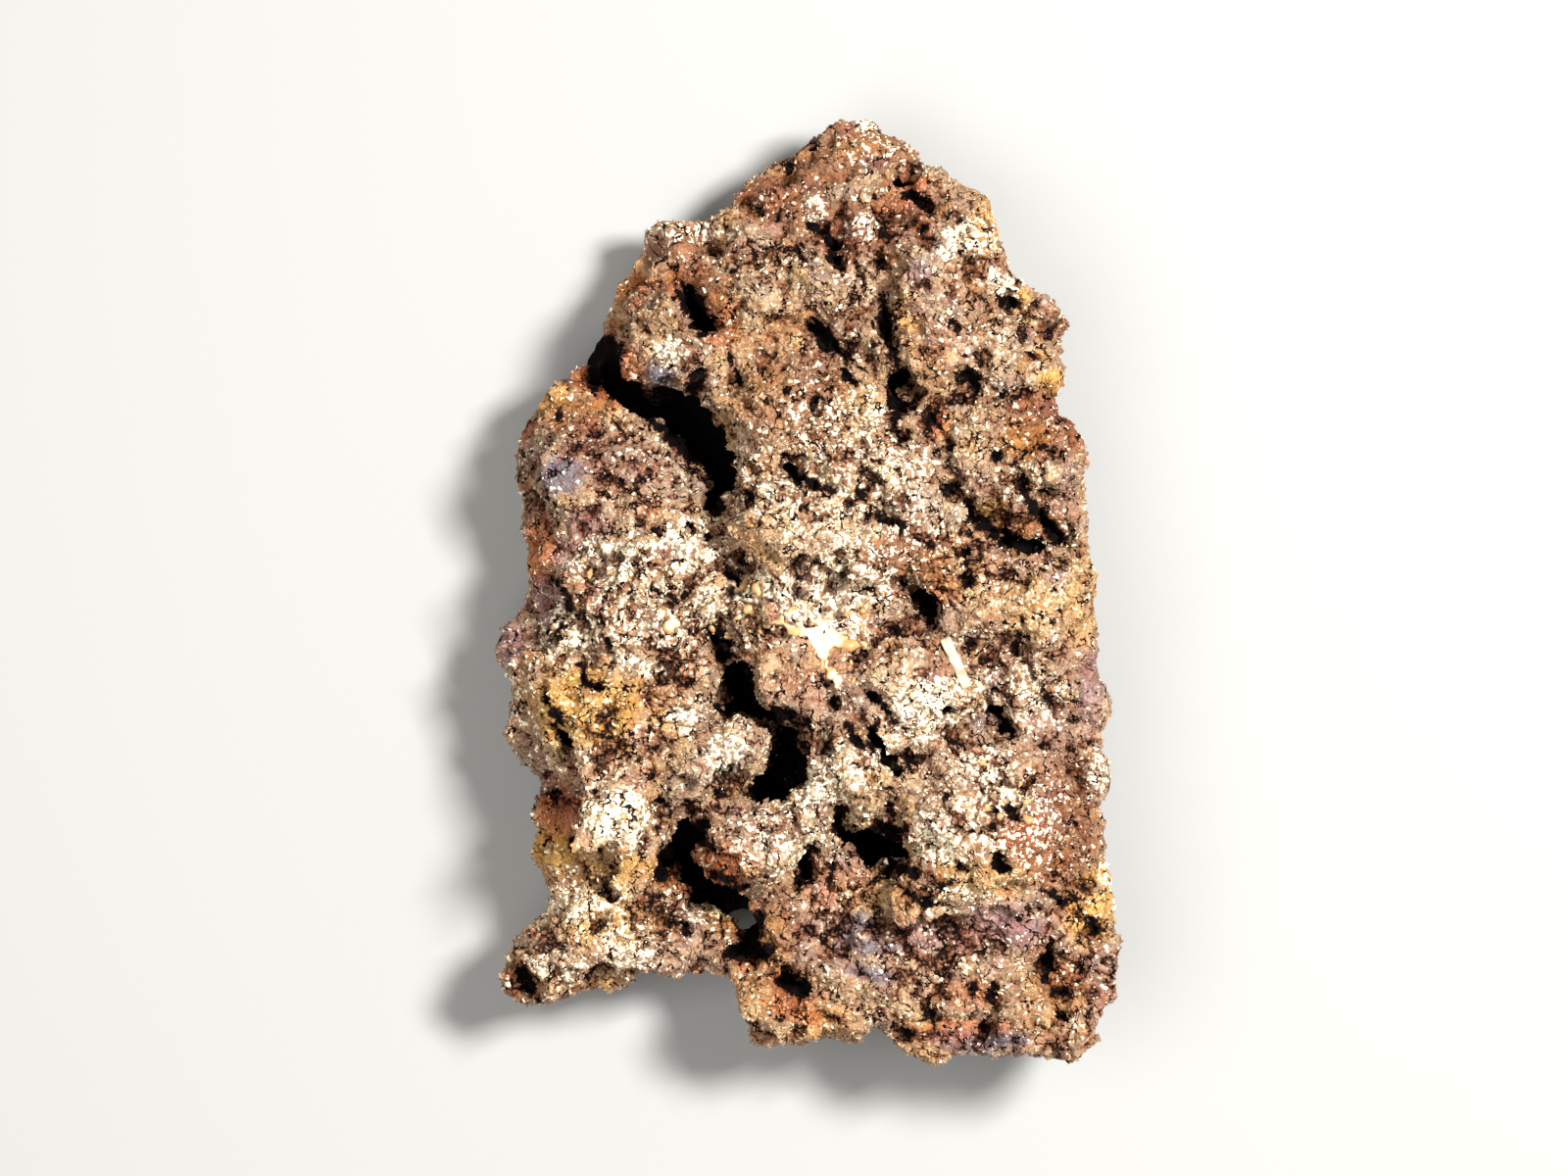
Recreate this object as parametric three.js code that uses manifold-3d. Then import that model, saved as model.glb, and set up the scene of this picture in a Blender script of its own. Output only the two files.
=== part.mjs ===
// A pyrrhotite specimen: one spongy, granular crust of iron sulphide that lies on its flattened back.
// Millimetres. Seen from above, +X is the specimen's right and +Y its tip. Its rough face looks up, along +Z,
// and the origin is at the middle of the underside.
import * as THREE from "three";
import { MarchingCubes } from "three/addons/objects/MarchingCubes.js";
import { ImprovedNoise } from "three/addons/math/ImprovedNoise.js";
import { mergeVertices } from "three/addons/utils/BufferGeometryUtils.js";
import Module from "manifold-3d";

// Driving dimensions
const LENGTH = 60; // from the tip to the foot
const FACE_HEIGHT = 15; // the face between its lumps, above the underside
const RIM_HEIGHT = 9.5; // where the crust is widest
const RIM_RISE_RIGHT = 0.15; // the rim climbs towards the right, per millimetre
const RIM_DROP_TIP = 0.08; // and drops towards the tip
const SIDE_LEAN = 2.4; // how far a wall leans in
const SIDE_REACH = 8; // at this height above or below the rim
const EDGE_FALL = 4.5; // how far the face falls to its edge
const EDGE_WIDTH = 5; // over this distance from the outline

// Relief of the broken surface: how far it stands out, and the size of its lumps
const COARSE = { relief: 1.5, size: 5.2, shift: 11 };
const FINE = { relief: 0.8, size: 2.9, shift: 37 };
const WALL = { relief: 4, size: 5.2, shift: 53 };
const RIM_BAND = 1.5; // the wall keeps to the silhouette this far above and below the rim
const LEAST_BROW = 1; // the face stays at least this far above the rim
const CALM_EDGE = 2.5; // the relief fades out over this distance from the silhouette
const UNDERSIDE = { relief: 5.5, size: 7, shift: 71 };
const BACK_SINK = 0.1; // how much of that relief lies under the plane that the back is evened to
const FLAT_BACK = 9; // radius of the flat patch in the middle of the underside
const FLAT_DEPTH = 1; // how far the patch would reach below the plane, so that the plane cuts it flat
const BLEND = 0.9; // how softly lumps and hollows run into the crust
const BROW_BLEND = 1.8; // and how softly the walls run into the face
const BLUNT = 2.3; // 2 gives a lump the form of an ellipsoid, and more makes it blunter
const LUMP_DEPTH = 1.25; // how deep a lump is, against its smaller half width

// The shape is sampled on a cube of 64 cells a side, which covers the specimen with room to spare
const CELLS = 64;
const CELL = 1.54;
const MIDDLE = CELLS / 2;
const LEAST_VALUE = 0.07 * CELL; // keeps the surface off the grid's corners, so no triangle is a sliver
const MOST_VALUE = 1.5 * CELL;
const MOST_TRIANGLES = 40000; // room for the sampled surface
const MERGE_RANGE = 1e-4; // points closer than this are one

// Pixels of the 1600 by 1200 photograph, in which the places below were read
const TIP_PX = 123;
const FOOT_PX = 1082;
const LEFT_PX = 505;
const RIGHT_PX = 1141;
const MM_PER_PX = LENGTH / (FOOT_PX - TIP_PX);
const MID_X_PX = (LEFT_PX + RIGHT_PX) / 2;
const MID_Y_PX = (TIP_PX + FOOT_PX) / 2;

// The silhouette, clockwise from the tip
const OUTLINE_PX = [
  [855, 123], [893, 125], [905, 139], [928, 148], [937, 164], [962, 172], [970, 183], [985, 190],
  [1010, 199], [1012, 226], [1026, 265], [1027, 283], [1040, 289], [1063, 288], [1074, 309], [1090, 334],
  [1072, 359], [1085, 384], [1081, 401], [1053, 404], [1056, 416], [1091, 430], [1110, 458], [1105, 485],
  [1114, 517], [1108, 540], [1107, 568], [1118, 588], [1110, 626], [1117, 650], [1120, 694], [1132, 719],
  [1121, 741], [1122, 765], [1130, 796], [1121, 817], [1129, 827], [1125, 868], [1133, 897], [1141, 944],
  [1136, 985], [1138, 1011], [1131, 1036], [1118, 1059], [1113, 1076], [1094, 1079], [1050, 1073],
  [1015, 1076], [985, 1071], [959, 1082], [946, 1082], [911, 1069], [904, 1051], [888, 1044], [879, 1054],
  [864, 1065], [845, 1055], [822, 1063], [783, 1069], [766, 1057], [753, 1036], [755, 1010], [746, 986],
  [732, 984], [721, 995], [691, 1000], [667, 987], [646, 995], [632, 1012], [600, 1005], [570, 1027],
  [530, 1023], [510, 1005], [512, 979], [541, 943], [569, 921], [544, 904], [540, 872], [533, 850],
  [545, 819], [559, 804], [549, 790], [531, 770], [515, 751], [520, 722], [524, 697], [505, 668],
  [510, 641], [536, 622], [541, 598], [533, 555], [536, 525], [526, 482], [529, 457], [520, 436],
  [547, 423], [563, 398], [586, 373], [588, 358], [616, 330], [631, 290], [663, 268], [654, 240],
  [672, 226], [720, 227], [749, 221], [750, 200], [780, 171], [812, 155], [836, 136],
];

// Lumps of the face: middle, half sizes, how far the long side is turned, and the top's height in mm
const LUMPS = [
  { name: "tip", at: [868, 180], half: [75, 50], turn: 0, top: 12 },
  { name: "upper ledge", at: [705, 250], half: [60, 22], turn: 0, top: 9 },
  { name: "upper left knob", at: [680, 352], half: [46, 60], turn: 0, top: 19.5 },
  { name: "knob bridge", at: [725, 358], half: [30, 22], turn: 0, top: 17.5 },
  { name: "upper mass", at: [795, 300], half: [82, 62], turn: 0, top: 18.5 },
  { name: "upper right mass", at: [965, 300], half: [75, 80], turn: 15, top: 18 },
  { name: "right shoulder", at: [1045, 345], half: [42, 50], turn: 0, top: 16.5 },
  { name: "left wing", at: [625, 480], half: [88, 55], turn: -12, top: 16 },
  { name: "wing knob", at: [625, 425], half: [30, 34], turn: 0, top: 15.5 },
  { name: "middle mass", at: [850, 520], half: [120, 62], turn: -14, top: 21 },
  { name: "mid upper mass", at: [815, 420], half: [85, 50], turn: 0, top: 20 },
  { name: "pocket rim", at: [838, 628], half: [92, 50], turn: 0, top: 19.3 },
  { name: "round boss", at: [928, 575], half: [36, 32], turn: 0, top: 20.5 },
  { name: "right mass", at: [1035, 620], half: [90, 55], turn: 0, top: 18.5 },
  { name: "right upper mass", at: [1040, 460], half: [62, 45], turn: 0, top: 17.5 },
  { name: "centre left mass", at: [655, 610], half: [95, 72], turn: 0, top: 19 },
  { name: "left boss", at: [555, 665], half: [48, 60], turn: 20, top: 14.5 },
  { name: "lower left mass", at: [640, 750], half: [100, 60], turn: 0, top: 18 },
  { name: "smooth bar", at: [805, 700], half: [62, 22], turn: -32, top: 18.5 },
  { name: "middle right mass", at: [930, 700], half: [70, 58], turn: 0, top: 20.5 },
  { name: "hollow knob", at: [775, 757], half: [38, 42], turn: 0, top: 18 },
  { name: "lower arm", at: [852, 790], half: [78, 34], turn: 28, top: 20.5 },
  { name: "pale nodule", at: [632, 828], half: [36, 34], turn: 0, top: 20 },
  { name: "lower middle boss", at: [778, 862], half: [56, 42], turn: 12, top: 22 },
  { name: "lower right mass", at: [1000, 825], half: [92, 72], turn: 0, top: 22 },
  { name: "lower right ledge", at: [975, 905], half: [85, 26], turn: -5, top: 19.5 },
  { name: "lower left lobe", at: [615, 965], half: [95, 48], turn: 8, top: 15.5 },
  { name: "foot", at: [985, 1000], half: [140, 62], turn: 0, top: 17 },
  { name: "foot lobe", at: [825, 1020], half: [66, 42], turn: 0, top: 15.5 },
];

// Hollows in the face: the line that each follows, its half width at both ends, and its floor's height in mm
const HOLLOWS = [
  { name: "tip recess", path: [[914, 184], [940, 206]], half: [12, 13], floor: 6 },
  { name: "ledge gap", path: [[718, 260], [740, 250]], half: [10, 8], floor: 5 },
  { name: "knob cleft", path: [[708, 305], [724, 337]], half: [16, 13], floor: 5 },
  { name: "behind the knob", path: [[617, 341], [618, 384], [648, 410]], half: [15, 20], floor: 3.5 },
  { name: "great cleft", path: [[648, 408], [697, 435], [738, 466]], half: [24, 28], floor: 3.5 },
  { name: "cleft notch", path: [[712, 392], [714, 420]], half: [10, 12], floor: 6 },
  { name: "great cleft end", path: [[740, 474], [728, 528]], half: [18, 10], floor: 5.5 },
  { name: "top cleft", path: [[832, 236], [860, 284]], half: [10, 10], floor: 8 },
  { name: "upper pit", path: [[835, 339], [847, 357]], half: [12, 12], floor: 8 },
  { name: "long fissure", path: [[897, 322], [912, 365], [926, 402]], half: [10, 11], floor: 7.5 },
  { name: "mid fissure", path: [[803, 476], [848, 503], [900, 532]], half: [10, 10], floor: 10 },
  { name: "right pits", path: [[1008, 535], [1036, 548], [1075, 545]], half: [11, 13], floor: 8 },
  { name: "boss fissure", path: [[916, 592], [944, 604], [947, 636]], half: [9, 10], floor: 9 },
  { name: "glow pocket", path: [[822, 648], [858, 662], [892, 662]], half: [14, 11], floor: 16.5 },
  { name: "crooked shaft", path: [[733, 643], [749, 690], [798, 738], [809, 772]], half: [12, 16], floor: 4 },
  { name: "shaft side", path: [[752, 705], [745, 719]], half: [13, 12], floor: 5 },
  { name: "shaft foot", path: [[810, 784], [780, 808]], half: [24, 22], floor: 3.5 },
  { name: "arm fissure", path: [[872, 742], [918, 785]], half: [13, 11], floor: 7 },
  { name: "right slot", path: [[1018, 722], [1030, 750]], half: [10, 10], floor: 8 },
  { name: "lower hollow", path: [[708, 848], [686, 876], [736, 908]], half: [22, 21], floor: 4 },
  { name: "lower gap", path: [[768, 930], [763, 956]], half: [12, 16], floor: 4.5 },
  { name: "arm gap", path: [[854, 828], [849, 856]], half: [9, 8], floor: 8 },
  { name: "black pit", path: [[889, 861], [909, 866]], half: [24, 27], floor: 3.5 },
  { name: "boss undercut", path: [[825, 868], [812, 892]], half: [9, 13], floor: 8 },
  { name: "foot pit", path: [[804, 998], [822, 1008]], half: [14, 12], floor: 5.5 },
  { name: "foot slot", path: [[944, 1004], [962, 1003]], half: [10, 11], floor: 6.5 },
  { name: "foot corner pit", path: [[1068, 985], [1080, 1012]], half: [11, 12], floor: 9 },
  { name: "left slot", path: [[560, 718], [576, 752]], half: [11, 11], floor: 5.5 },
  { name: "left corner pit", path: [[570, 802], [572, 812]], half: [13, 13], floor: 6 },
  { name: "nodule gap", path: [[680, 812], [676, 832]], half: [11, 11], floor: 9 },
];

// Small openings where the thin back of a hollow is broken through: middle and half sizes
const WINDOWS = [
  { name: "knob window", at: [631, 344], half: [9, 9] },
  { name: "cleft window", at: [659, 426], half: [13, 9] },
  { name: "lower window", at: [768, 946], half: [11, 9] },
];
const WINDOW_SIDES = 8;
const WINDOW_REACH = 30; // each is a prism that runs this far up and down from the underside

const noise = new ImprovedNoise();
const place = ([px, py]) => new THREE.Vector2((px - MID_X_PX) * MM_PER_PX, (MID_Y_PX - py) * MM_PER_PX);
const clamp = THREE.MathUtils.clamp;
const mix = THREE.MathUtils.lerp;

// The larger of two values, rounded over a short range where they meet; the smaller is its mirror
function softMax(a, b, range) {
  const h = Math.max(range - Math.abs(a - b), 0) / range;
  return Math.max(a, b) + (h * h * range) / 4;
}
const softMin = (a, b, range) => -softMax(-a, -b, range);

function alongSegment(x, y, a, b) {
  const dx = b.x - a.x;
  const dy = b.y - a.y;
  const t = clamp(((x - a.x) * dx + (y - a.y) * dy) / (dx * dx + dy * dy), 0, 1);
  return { t, away: Math.hypot(x - a.x - t * dx, y - a.y - t * dy) };
}

// Distance to the silhouette, positive inside it
const outline = OUTLINE_PX.map(place);
function insideOutline(x, y) {
  let nearest = Infinity;
  let inside = false;
  outline.forEach((a, i) => {
    const b = outline[(i + 1) % outline.length];
    nearest = Math.min(nearest, alongSegment(x, y, a, b).away);
    if (a.y > y !== b.y > y && x < ((b.x - a.x) * (y - a.y)) / (b.y - a.y) + a.x) inside = !inside;
  });
  return inside ? nearest : -nearest;
}

// A lump is a blunt ellipsoid that stands in the crust; the value is a near distance, positive inside
const lumps = LUMPS.map(({ at, half, turn, top }) => {
  const [rx, ry] = half.map((px) => px * MM_PER_PX);
  const rz = Math.min(rx, ry) * LUMP_DEPTH;
  const angle = THREE.MathUtils.degToRad(turn);
  return { at: place(at), rx, ry, rz, z: top - rz, cos: Math.cos(angle), sin: Math.sin(angle) };
});
function insideLump({ at, rx, ry, rz, z: middle, cos, sin }, x, y, z) {
  const u = ((x - at.x) * cos + (y - at.y) * sin) / rx;
  const v = ((y - at.y) * cos - (x - at.x) * sin) / ry;
  const w = Math.max(z - middle, 0) / rz;
  const reach = (Math.abs(u) ** BLUNT + Math.abs(v) ** BLUNT + w ** BLUNT) ** (1 / BLUNT);
  return (1 - reach) * Math.min(rx, ry, rz);
}

// A hollow is a groove along its line, open to the face; the value is a near distance, positive outside it
const hollows = HOLLOWS.map(({ path, half, floor }) => ({
  line: path.map(place),
  half: half.map((px) => px * MM_PER_PX),
  floor,
}));
function outsideHollow({ line, half, floor }, x, y, z) {
  let value = Infinity;
  for (let i = 0; i + 1 < line.length; i++) {
    const { t, away } = alongSegment(x, y, line[i], line[i + 1]);
    const width = mix(half[0], half[1], (i + t) / (line.length - 1));
    value = Math.min(value, away - width);
  }
  return softMax(value, floor - z, BLEND);
}

function roughness({ relief, size, shift }, x, y, z) {
  return relief * noise.noise(x / size + shift, y / size + shift, z / size + shift);
}

// The crust at one point, positive inside: its walls and face, the lumps, the hollows and the evened back
function crust(x, y, z, edge) {
  const rim = RIM_HEIGHT + RIM_RISE_RIGHT * x - RIM_DROP_TIP * y;
  const fromRim = Math.abs(z - rim);
  const lean = SIDE_LEAN * (Math.max(0, fromRim - RIM_BAND / 2) / SIDE_REACH) ** 2;
  const bite = Math.max(0, roughness(WALL, x, y, z)) * clamp((fromRim - RIM_BAND) / RIM_BAND, 0, 1);
  const wall = edge - lean - bite;
  const fall = EDGE_FALL * (1 - THREE.MathUtils.smoothstep(edge, 0, EDGE_WIDTH));
  const face = Math.max(FACE_HEIGHT - fall, rim + LEAST_BROW) - z;
  let value = softMin(wall, face, BROW_BLEND);
  for (const lump of lumps) value = softMax(value, insideLump(lump, x, y, z), BLEND);
  value += (roughness(COARSE, x, y, z) + roughness(FINE, x, y, z)) * clamp(edge / CALM_EDGE, 0, 1);
  for (const hollow of hollows) value = softMin(value, outsideHollow(hollow, x, y, z), BLEND);
  const clear = clamp((Math.hypot(x, y) - FLAT_BACK) / FLAT_BACK, 0, 1);
  const back = z - mix(-FLAT_DEPTH, roughness(UNDERSIDE, x, y, 0) - BACK_SINK, clear);
  return Math.min(softMin(value, wall, BLEND), back, edge);
}

// The crust sampled on the grid and turned into one surface, in millimetres
function crustGeometry() {
  const cubes = new MarchingCubes(CELLS, new THREE.Material(), false, false, MOST_TRIANGLES);
  cubes.isolation = 0;
  for (let i = 0; i < CELLS; i++) {
    for (let j = 0; j < CELLS; j++) {
      const x = (i - MIDDLE) * CELL;
      const y = (j - MIDDLE) * CELL;
      const edge = insideOutline(x, y);
      for (let k = 0; k < CELLS; k++) {
        const z = (k - MIDDLE) * CELL;
        const value = edge < -MOST_VALUE ? -MOST_VALUE : clamp(crust(x, y, z, edge), -MOST_VALUE, MOST_VALUE);
        cubes.setCell(i, j, k, Math.abs(value) < LEAST_VALUE ? LEAST_VALUE * (value < 0 ? -1 : 1) : value);
      }
    }
  }
  cubes.update();
  const points = cubes.positionArray.slice(0, cubes.count * 3);
  const geometry = new THREE.BufferGeometry().setAttribute("position", new THREE.BufferAttribute(points, 3));
  return geometry.scale(MIDDLE * CELL, MIDDLE * CELL, MIDDLE * CELL);
}

const wasm = await Module();
wasm.setup();

function toSolid(geometry) {
  geometry.deleteAttribute("normal");
  geometry.deleteAttribute("uv");
  const merged = mergeVertices(geometry, MERGE_RANGE);
  return new wasm.Manifold(
    new wasm.Mesh({
      numProp: 3,
      vertProperties: merged.attributes.position.array,
      triVerts: new Uint32Array(merged.index.array),
    }),
  );
}

function toGeometry(solid) {
  const { vertProperties, triVerts } = solid.getMesh();
  const geometry = new THREE.BufferGeometry()
    .setAttribute("position", new THREE.BufferAttribute(new Float32Array(vertProperties), 3))
    .setIndex(new THREE.BufferAttribute(new Uint32Array(triVerts), 1));
  geometry.computeVertexNormals();
  return geometry;
}

// Everything below the underside's plane
function ground() {
  const size = 2 * LENGTH;
  return toSolid(new THREE.BoxGeometry(size, size, size).translate(0, 0, -size / 2));
}

// An upright prism through the whole crust
function windowPrism({ at, half }) {
  const { x, y } = place(at);
  const [rx, ry] = half.map((px) => px * MM_PER_PX);
  const prism = new THREE.CylinderGeometry(1, 1, 2 * WINDOW_REACH, WINDOW_SIDES).rotateX(Math.PI / 2);
  return toSolid(prism.scale(rx, ry, 1).translate(x, y, 0));
}

function buildCrust() {
  let solid = toSolid(crustGeometry()).subtract(ground());
  for (const opening of WINDOWS) solid = solid.subtract(windowPrism(opening));
  const [largest] = solid.decompose().sort((a, b) => b.volume() - a.volume());
  return toGeometry(largest);
}

const bronze = new THREE.MeshStandardMaterial({ color: 0x8a6a4a, roughness: 0.6, metalness: 0.35 });
const crustMesh = new THREE.Mesh(buildCrust(), bronze);
crustMesh.name = "pyrrhotite_crust";

const specimen = new THREE.Group();
specimen.add(crustMesh);

export default specimen;
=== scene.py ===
"""A pyrrhotite specimen: a spongy, granular crust on its flattened back, seen from straight above."""

import math

import bmesh
import bpy
import numpy as np
from bpy.props import FloatProperty, FloatVectorProperty, IntProperty, PointerProperty
from mathutils import Matrix, Vector, noise
from mathutils.bvhtree import BVHTree


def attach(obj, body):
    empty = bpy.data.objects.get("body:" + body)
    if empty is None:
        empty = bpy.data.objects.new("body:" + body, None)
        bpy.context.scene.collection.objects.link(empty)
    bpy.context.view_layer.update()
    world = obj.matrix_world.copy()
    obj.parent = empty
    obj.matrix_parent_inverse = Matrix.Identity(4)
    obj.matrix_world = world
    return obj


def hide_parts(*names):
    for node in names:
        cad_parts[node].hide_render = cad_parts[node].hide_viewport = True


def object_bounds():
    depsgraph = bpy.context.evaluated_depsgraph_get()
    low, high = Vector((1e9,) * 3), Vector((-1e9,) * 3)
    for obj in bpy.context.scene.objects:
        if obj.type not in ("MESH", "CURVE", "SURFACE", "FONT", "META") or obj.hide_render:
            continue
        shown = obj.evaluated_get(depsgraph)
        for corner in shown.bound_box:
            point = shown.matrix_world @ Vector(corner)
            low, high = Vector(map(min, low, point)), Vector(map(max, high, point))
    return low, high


bl_info = {
    "name": "Pyrrhotite Specimen",
    "version": (1, 0, 0),
    "blender": (4, 5, 0),
    "location": "View3D > Sidebar > Specimen",
    "description": "Gives the packed solid of a pyrrhotite crust its clumps, pits, grains and tarnish",
    "category": "Add Mesh",
}

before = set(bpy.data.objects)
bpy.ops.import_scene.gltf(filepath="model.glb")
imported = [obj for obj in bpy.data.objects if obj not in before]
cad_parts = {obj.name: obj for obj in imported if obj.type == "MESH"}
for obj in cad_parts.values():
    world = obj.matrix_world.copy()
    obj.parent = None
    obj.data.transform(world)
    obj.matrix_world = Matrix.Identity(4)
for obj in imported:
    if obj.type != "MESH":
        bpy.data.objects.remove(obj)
CAD_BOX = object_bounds()

NODE = "pyrrhotite_crust"
BODY = "root"
MM = 0.001

# Seeds of the random draws, and of the noise that bends things
FLAKE_SEED = 5
GRAIN_SEED = 8
BEND_SEED = 3

# The shift at which each field of noise is read, so that fields that are alike don't agree
SHIFTS = {
    "large clumps": 1, "middle clumps": 2, "small clumps": 3, "height": 5, "cracks": 9, "ragged": 6,
    "finely ragged": 8, "crevice width": 17, "crevice bends": 5, "fine crevice bends": 9, "crease shade": 14,
    "patch edges": 3, "coarse patch edges": 7, "clouds": 20, "speckles": 25, "next kind": 10,
    "coarse grains": 31, "cream grains": 33, "sinter": 12, "fine sinter": 13, "glow": 4,
}

# The photograph is 1600 by 1200 pixels, and the specimen is 60 mm from its tip to its foot
IMAGE_WIDTH_PX = 1600
IMAGE_MIDDLE_PX = (800, 600)
TIP_PX = 123
FOOT_PX = 1082
MIDDLE_PX = (823, 602.5)
LENGTH = 60 * MM
PX = LENGTH / (FOOT_PX - TIP_PX)


def spot(x_px, y_px):
    """A pixel of the photograph as a place seen from above, in metres."""
    return Vector(((x_px - MIDDLE_PX[0]) * PX, (MIDDLE_PX[1] - y_px) * PX, 0))


# The silhouette in the photograph, clockwise from the tip, in pixels
OUTLINE = [
    (855, 123), (870, 126), (878, 125), (893, 125), (898, 133), (905, 139), (920, 143), (928, 148),
    (935, 155), (937, 164), (946, 168), (951, 175), (962, 172), (970, 183), (985, 190), (1000, 197),
    (1010, 199), (1013, 212), (1011, 226), (1015, 235), (1019, 248), (1026, 265), (1031, 276), (1026, 279),
    (1026, 284), (1033, 286), (1040, 289), (1046, 289), (1051, 285), (1063, 288), (1070, 298), (1074, 309),
    (1081, 319), (1084, 331), (1090, 334), (1087, 345), (1080, 348), (1072, 359), (1071, 368), (1078, 375),
    (1085, 384), (1081, 400), (1074, 405), (1060, 404), (1052, 404), (1049, 409), (1055, 416), (1068, 419),
    (1080, 423), (1091, 430), (1096, 440), (1101, 448), (1110, 458), (1106, 473), (1105, 485), (1106, 500),
    (1110, 511), (1114, 512), (1115, 523), (1109, 527), (1108, 538), (1112, 545), (1107, 560), (1107, 570),
    (1112, 573), (1112, 580), (1118, 588), (1113, 597), (1112, 612), (1109, 626), (1114, 630), (1117, 643),
    (1116, 655), (1119, 680), (1120, 694), (1127, 706), (1132, 719), (1128, 728), (1129, 739), (1120, 741),
    (1122, 757), (1122, 767), (1127, 776), (1126, 790), (1131, 796), (1126, 805), (1121, 817), (1124, 826),
    (1130, 827), (1126, 835), (1127, 858), (1124, 870), (1130, 878), (1133, 897), (1132, 915), (1138, 930),
    (1141, 945), (1140, 970), (1136, 985), (1137, 1000), (1138, 1011), (1132, 1022), (1131, 1037),
    (1124, 1049), (1118, 1058), (1120, 1068), (1113, 1076), (1105, 1073), (1094, 1079), (1075, 1076),
    (1050, 1073), (1031, 1071), (1015, 1076), (1000, 1073), (985, 1071), (970, 1072), (960, 1076),
    (959, 1082), (946, 1082), (935, 1075), (918, 1072), (911, 1069), (908, 1056), (900, 1049), (889, 1044),
    (880, 1052), (878, 1064), (865, 1066), (858, 1058), (845, 1055), (833, 1056), (822, 1064), (800, 1061),
    (783, 1069), (767, 1058), (765, 1045), (754, 1039), (753, 1024), (757, 1018), (752, 1004), (747, 995),
    (745, 986), (736, 984), (726, 986), (721, 995), (705, 996), (691, 1000), (681, 996), (667, 987),
    (656, 988), (646, 995), (640, 1005), (632, 1012), (620, 1009), (600, 1005), (585, 1011), (576, 1022),
    (569, 1027), (555, 1024), (530, 1023), (517, 1014), (510, 1005), (509, 993), (512, 980), (520, 970),
    (524, 961), (535, 954), (541, 943), (555, 935), (562, 926), (569, 921), (565, 915), (550, 909),
    (543, 902), (541, 885), (540, 872), (535, 863), (533, 850), (543, 842), (549, 841), (543, 830),
    (545, 819), (556, 813), (559, 804), (549, 794), (555, 785), (541, 784), (534, 777), (531, 770),
    (520, 759), (514, 751), (519, 738), (519, 721), (526, 712), (524, 697), (519, 691), (510, 682),
    (505, 668), (510, 655), (513, 647), (510, 641), (522, 639), (528, 630), (536, 622), (536, 606),
    (541, 600), (540, 588), (535, 578), (533, 555), (531, 540), (536, 525), (533, 507), (527, 490),
    (526, 481), (529, 468), (529, 456), (521, 445), (520, 436), (530, 428), (547, 423), (554, 409),
    (563, 398), (575, 386), (580, 378), (586, 373), (587, 359), (598, 352), (600, 339), (608, 332),
    (616, 330), (618, 322), (624, 315), (630, 304), (631, 286), (640, 281), (652, 275), (663, 268),
    (662, 257), (654, 240), (661, 233), (672, 226), (684, 225), (690, 228), (697, 227), (720, 227),
    (732, 220), (750, 222), (750, 213), (749, 207), (750, 200), (758, 192), (761, 185), (770, 181),
    (780, 172), (792, 165), (804, 161), (812, 155), (825, 144), (836, 136), (850, 126),
]

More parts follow.
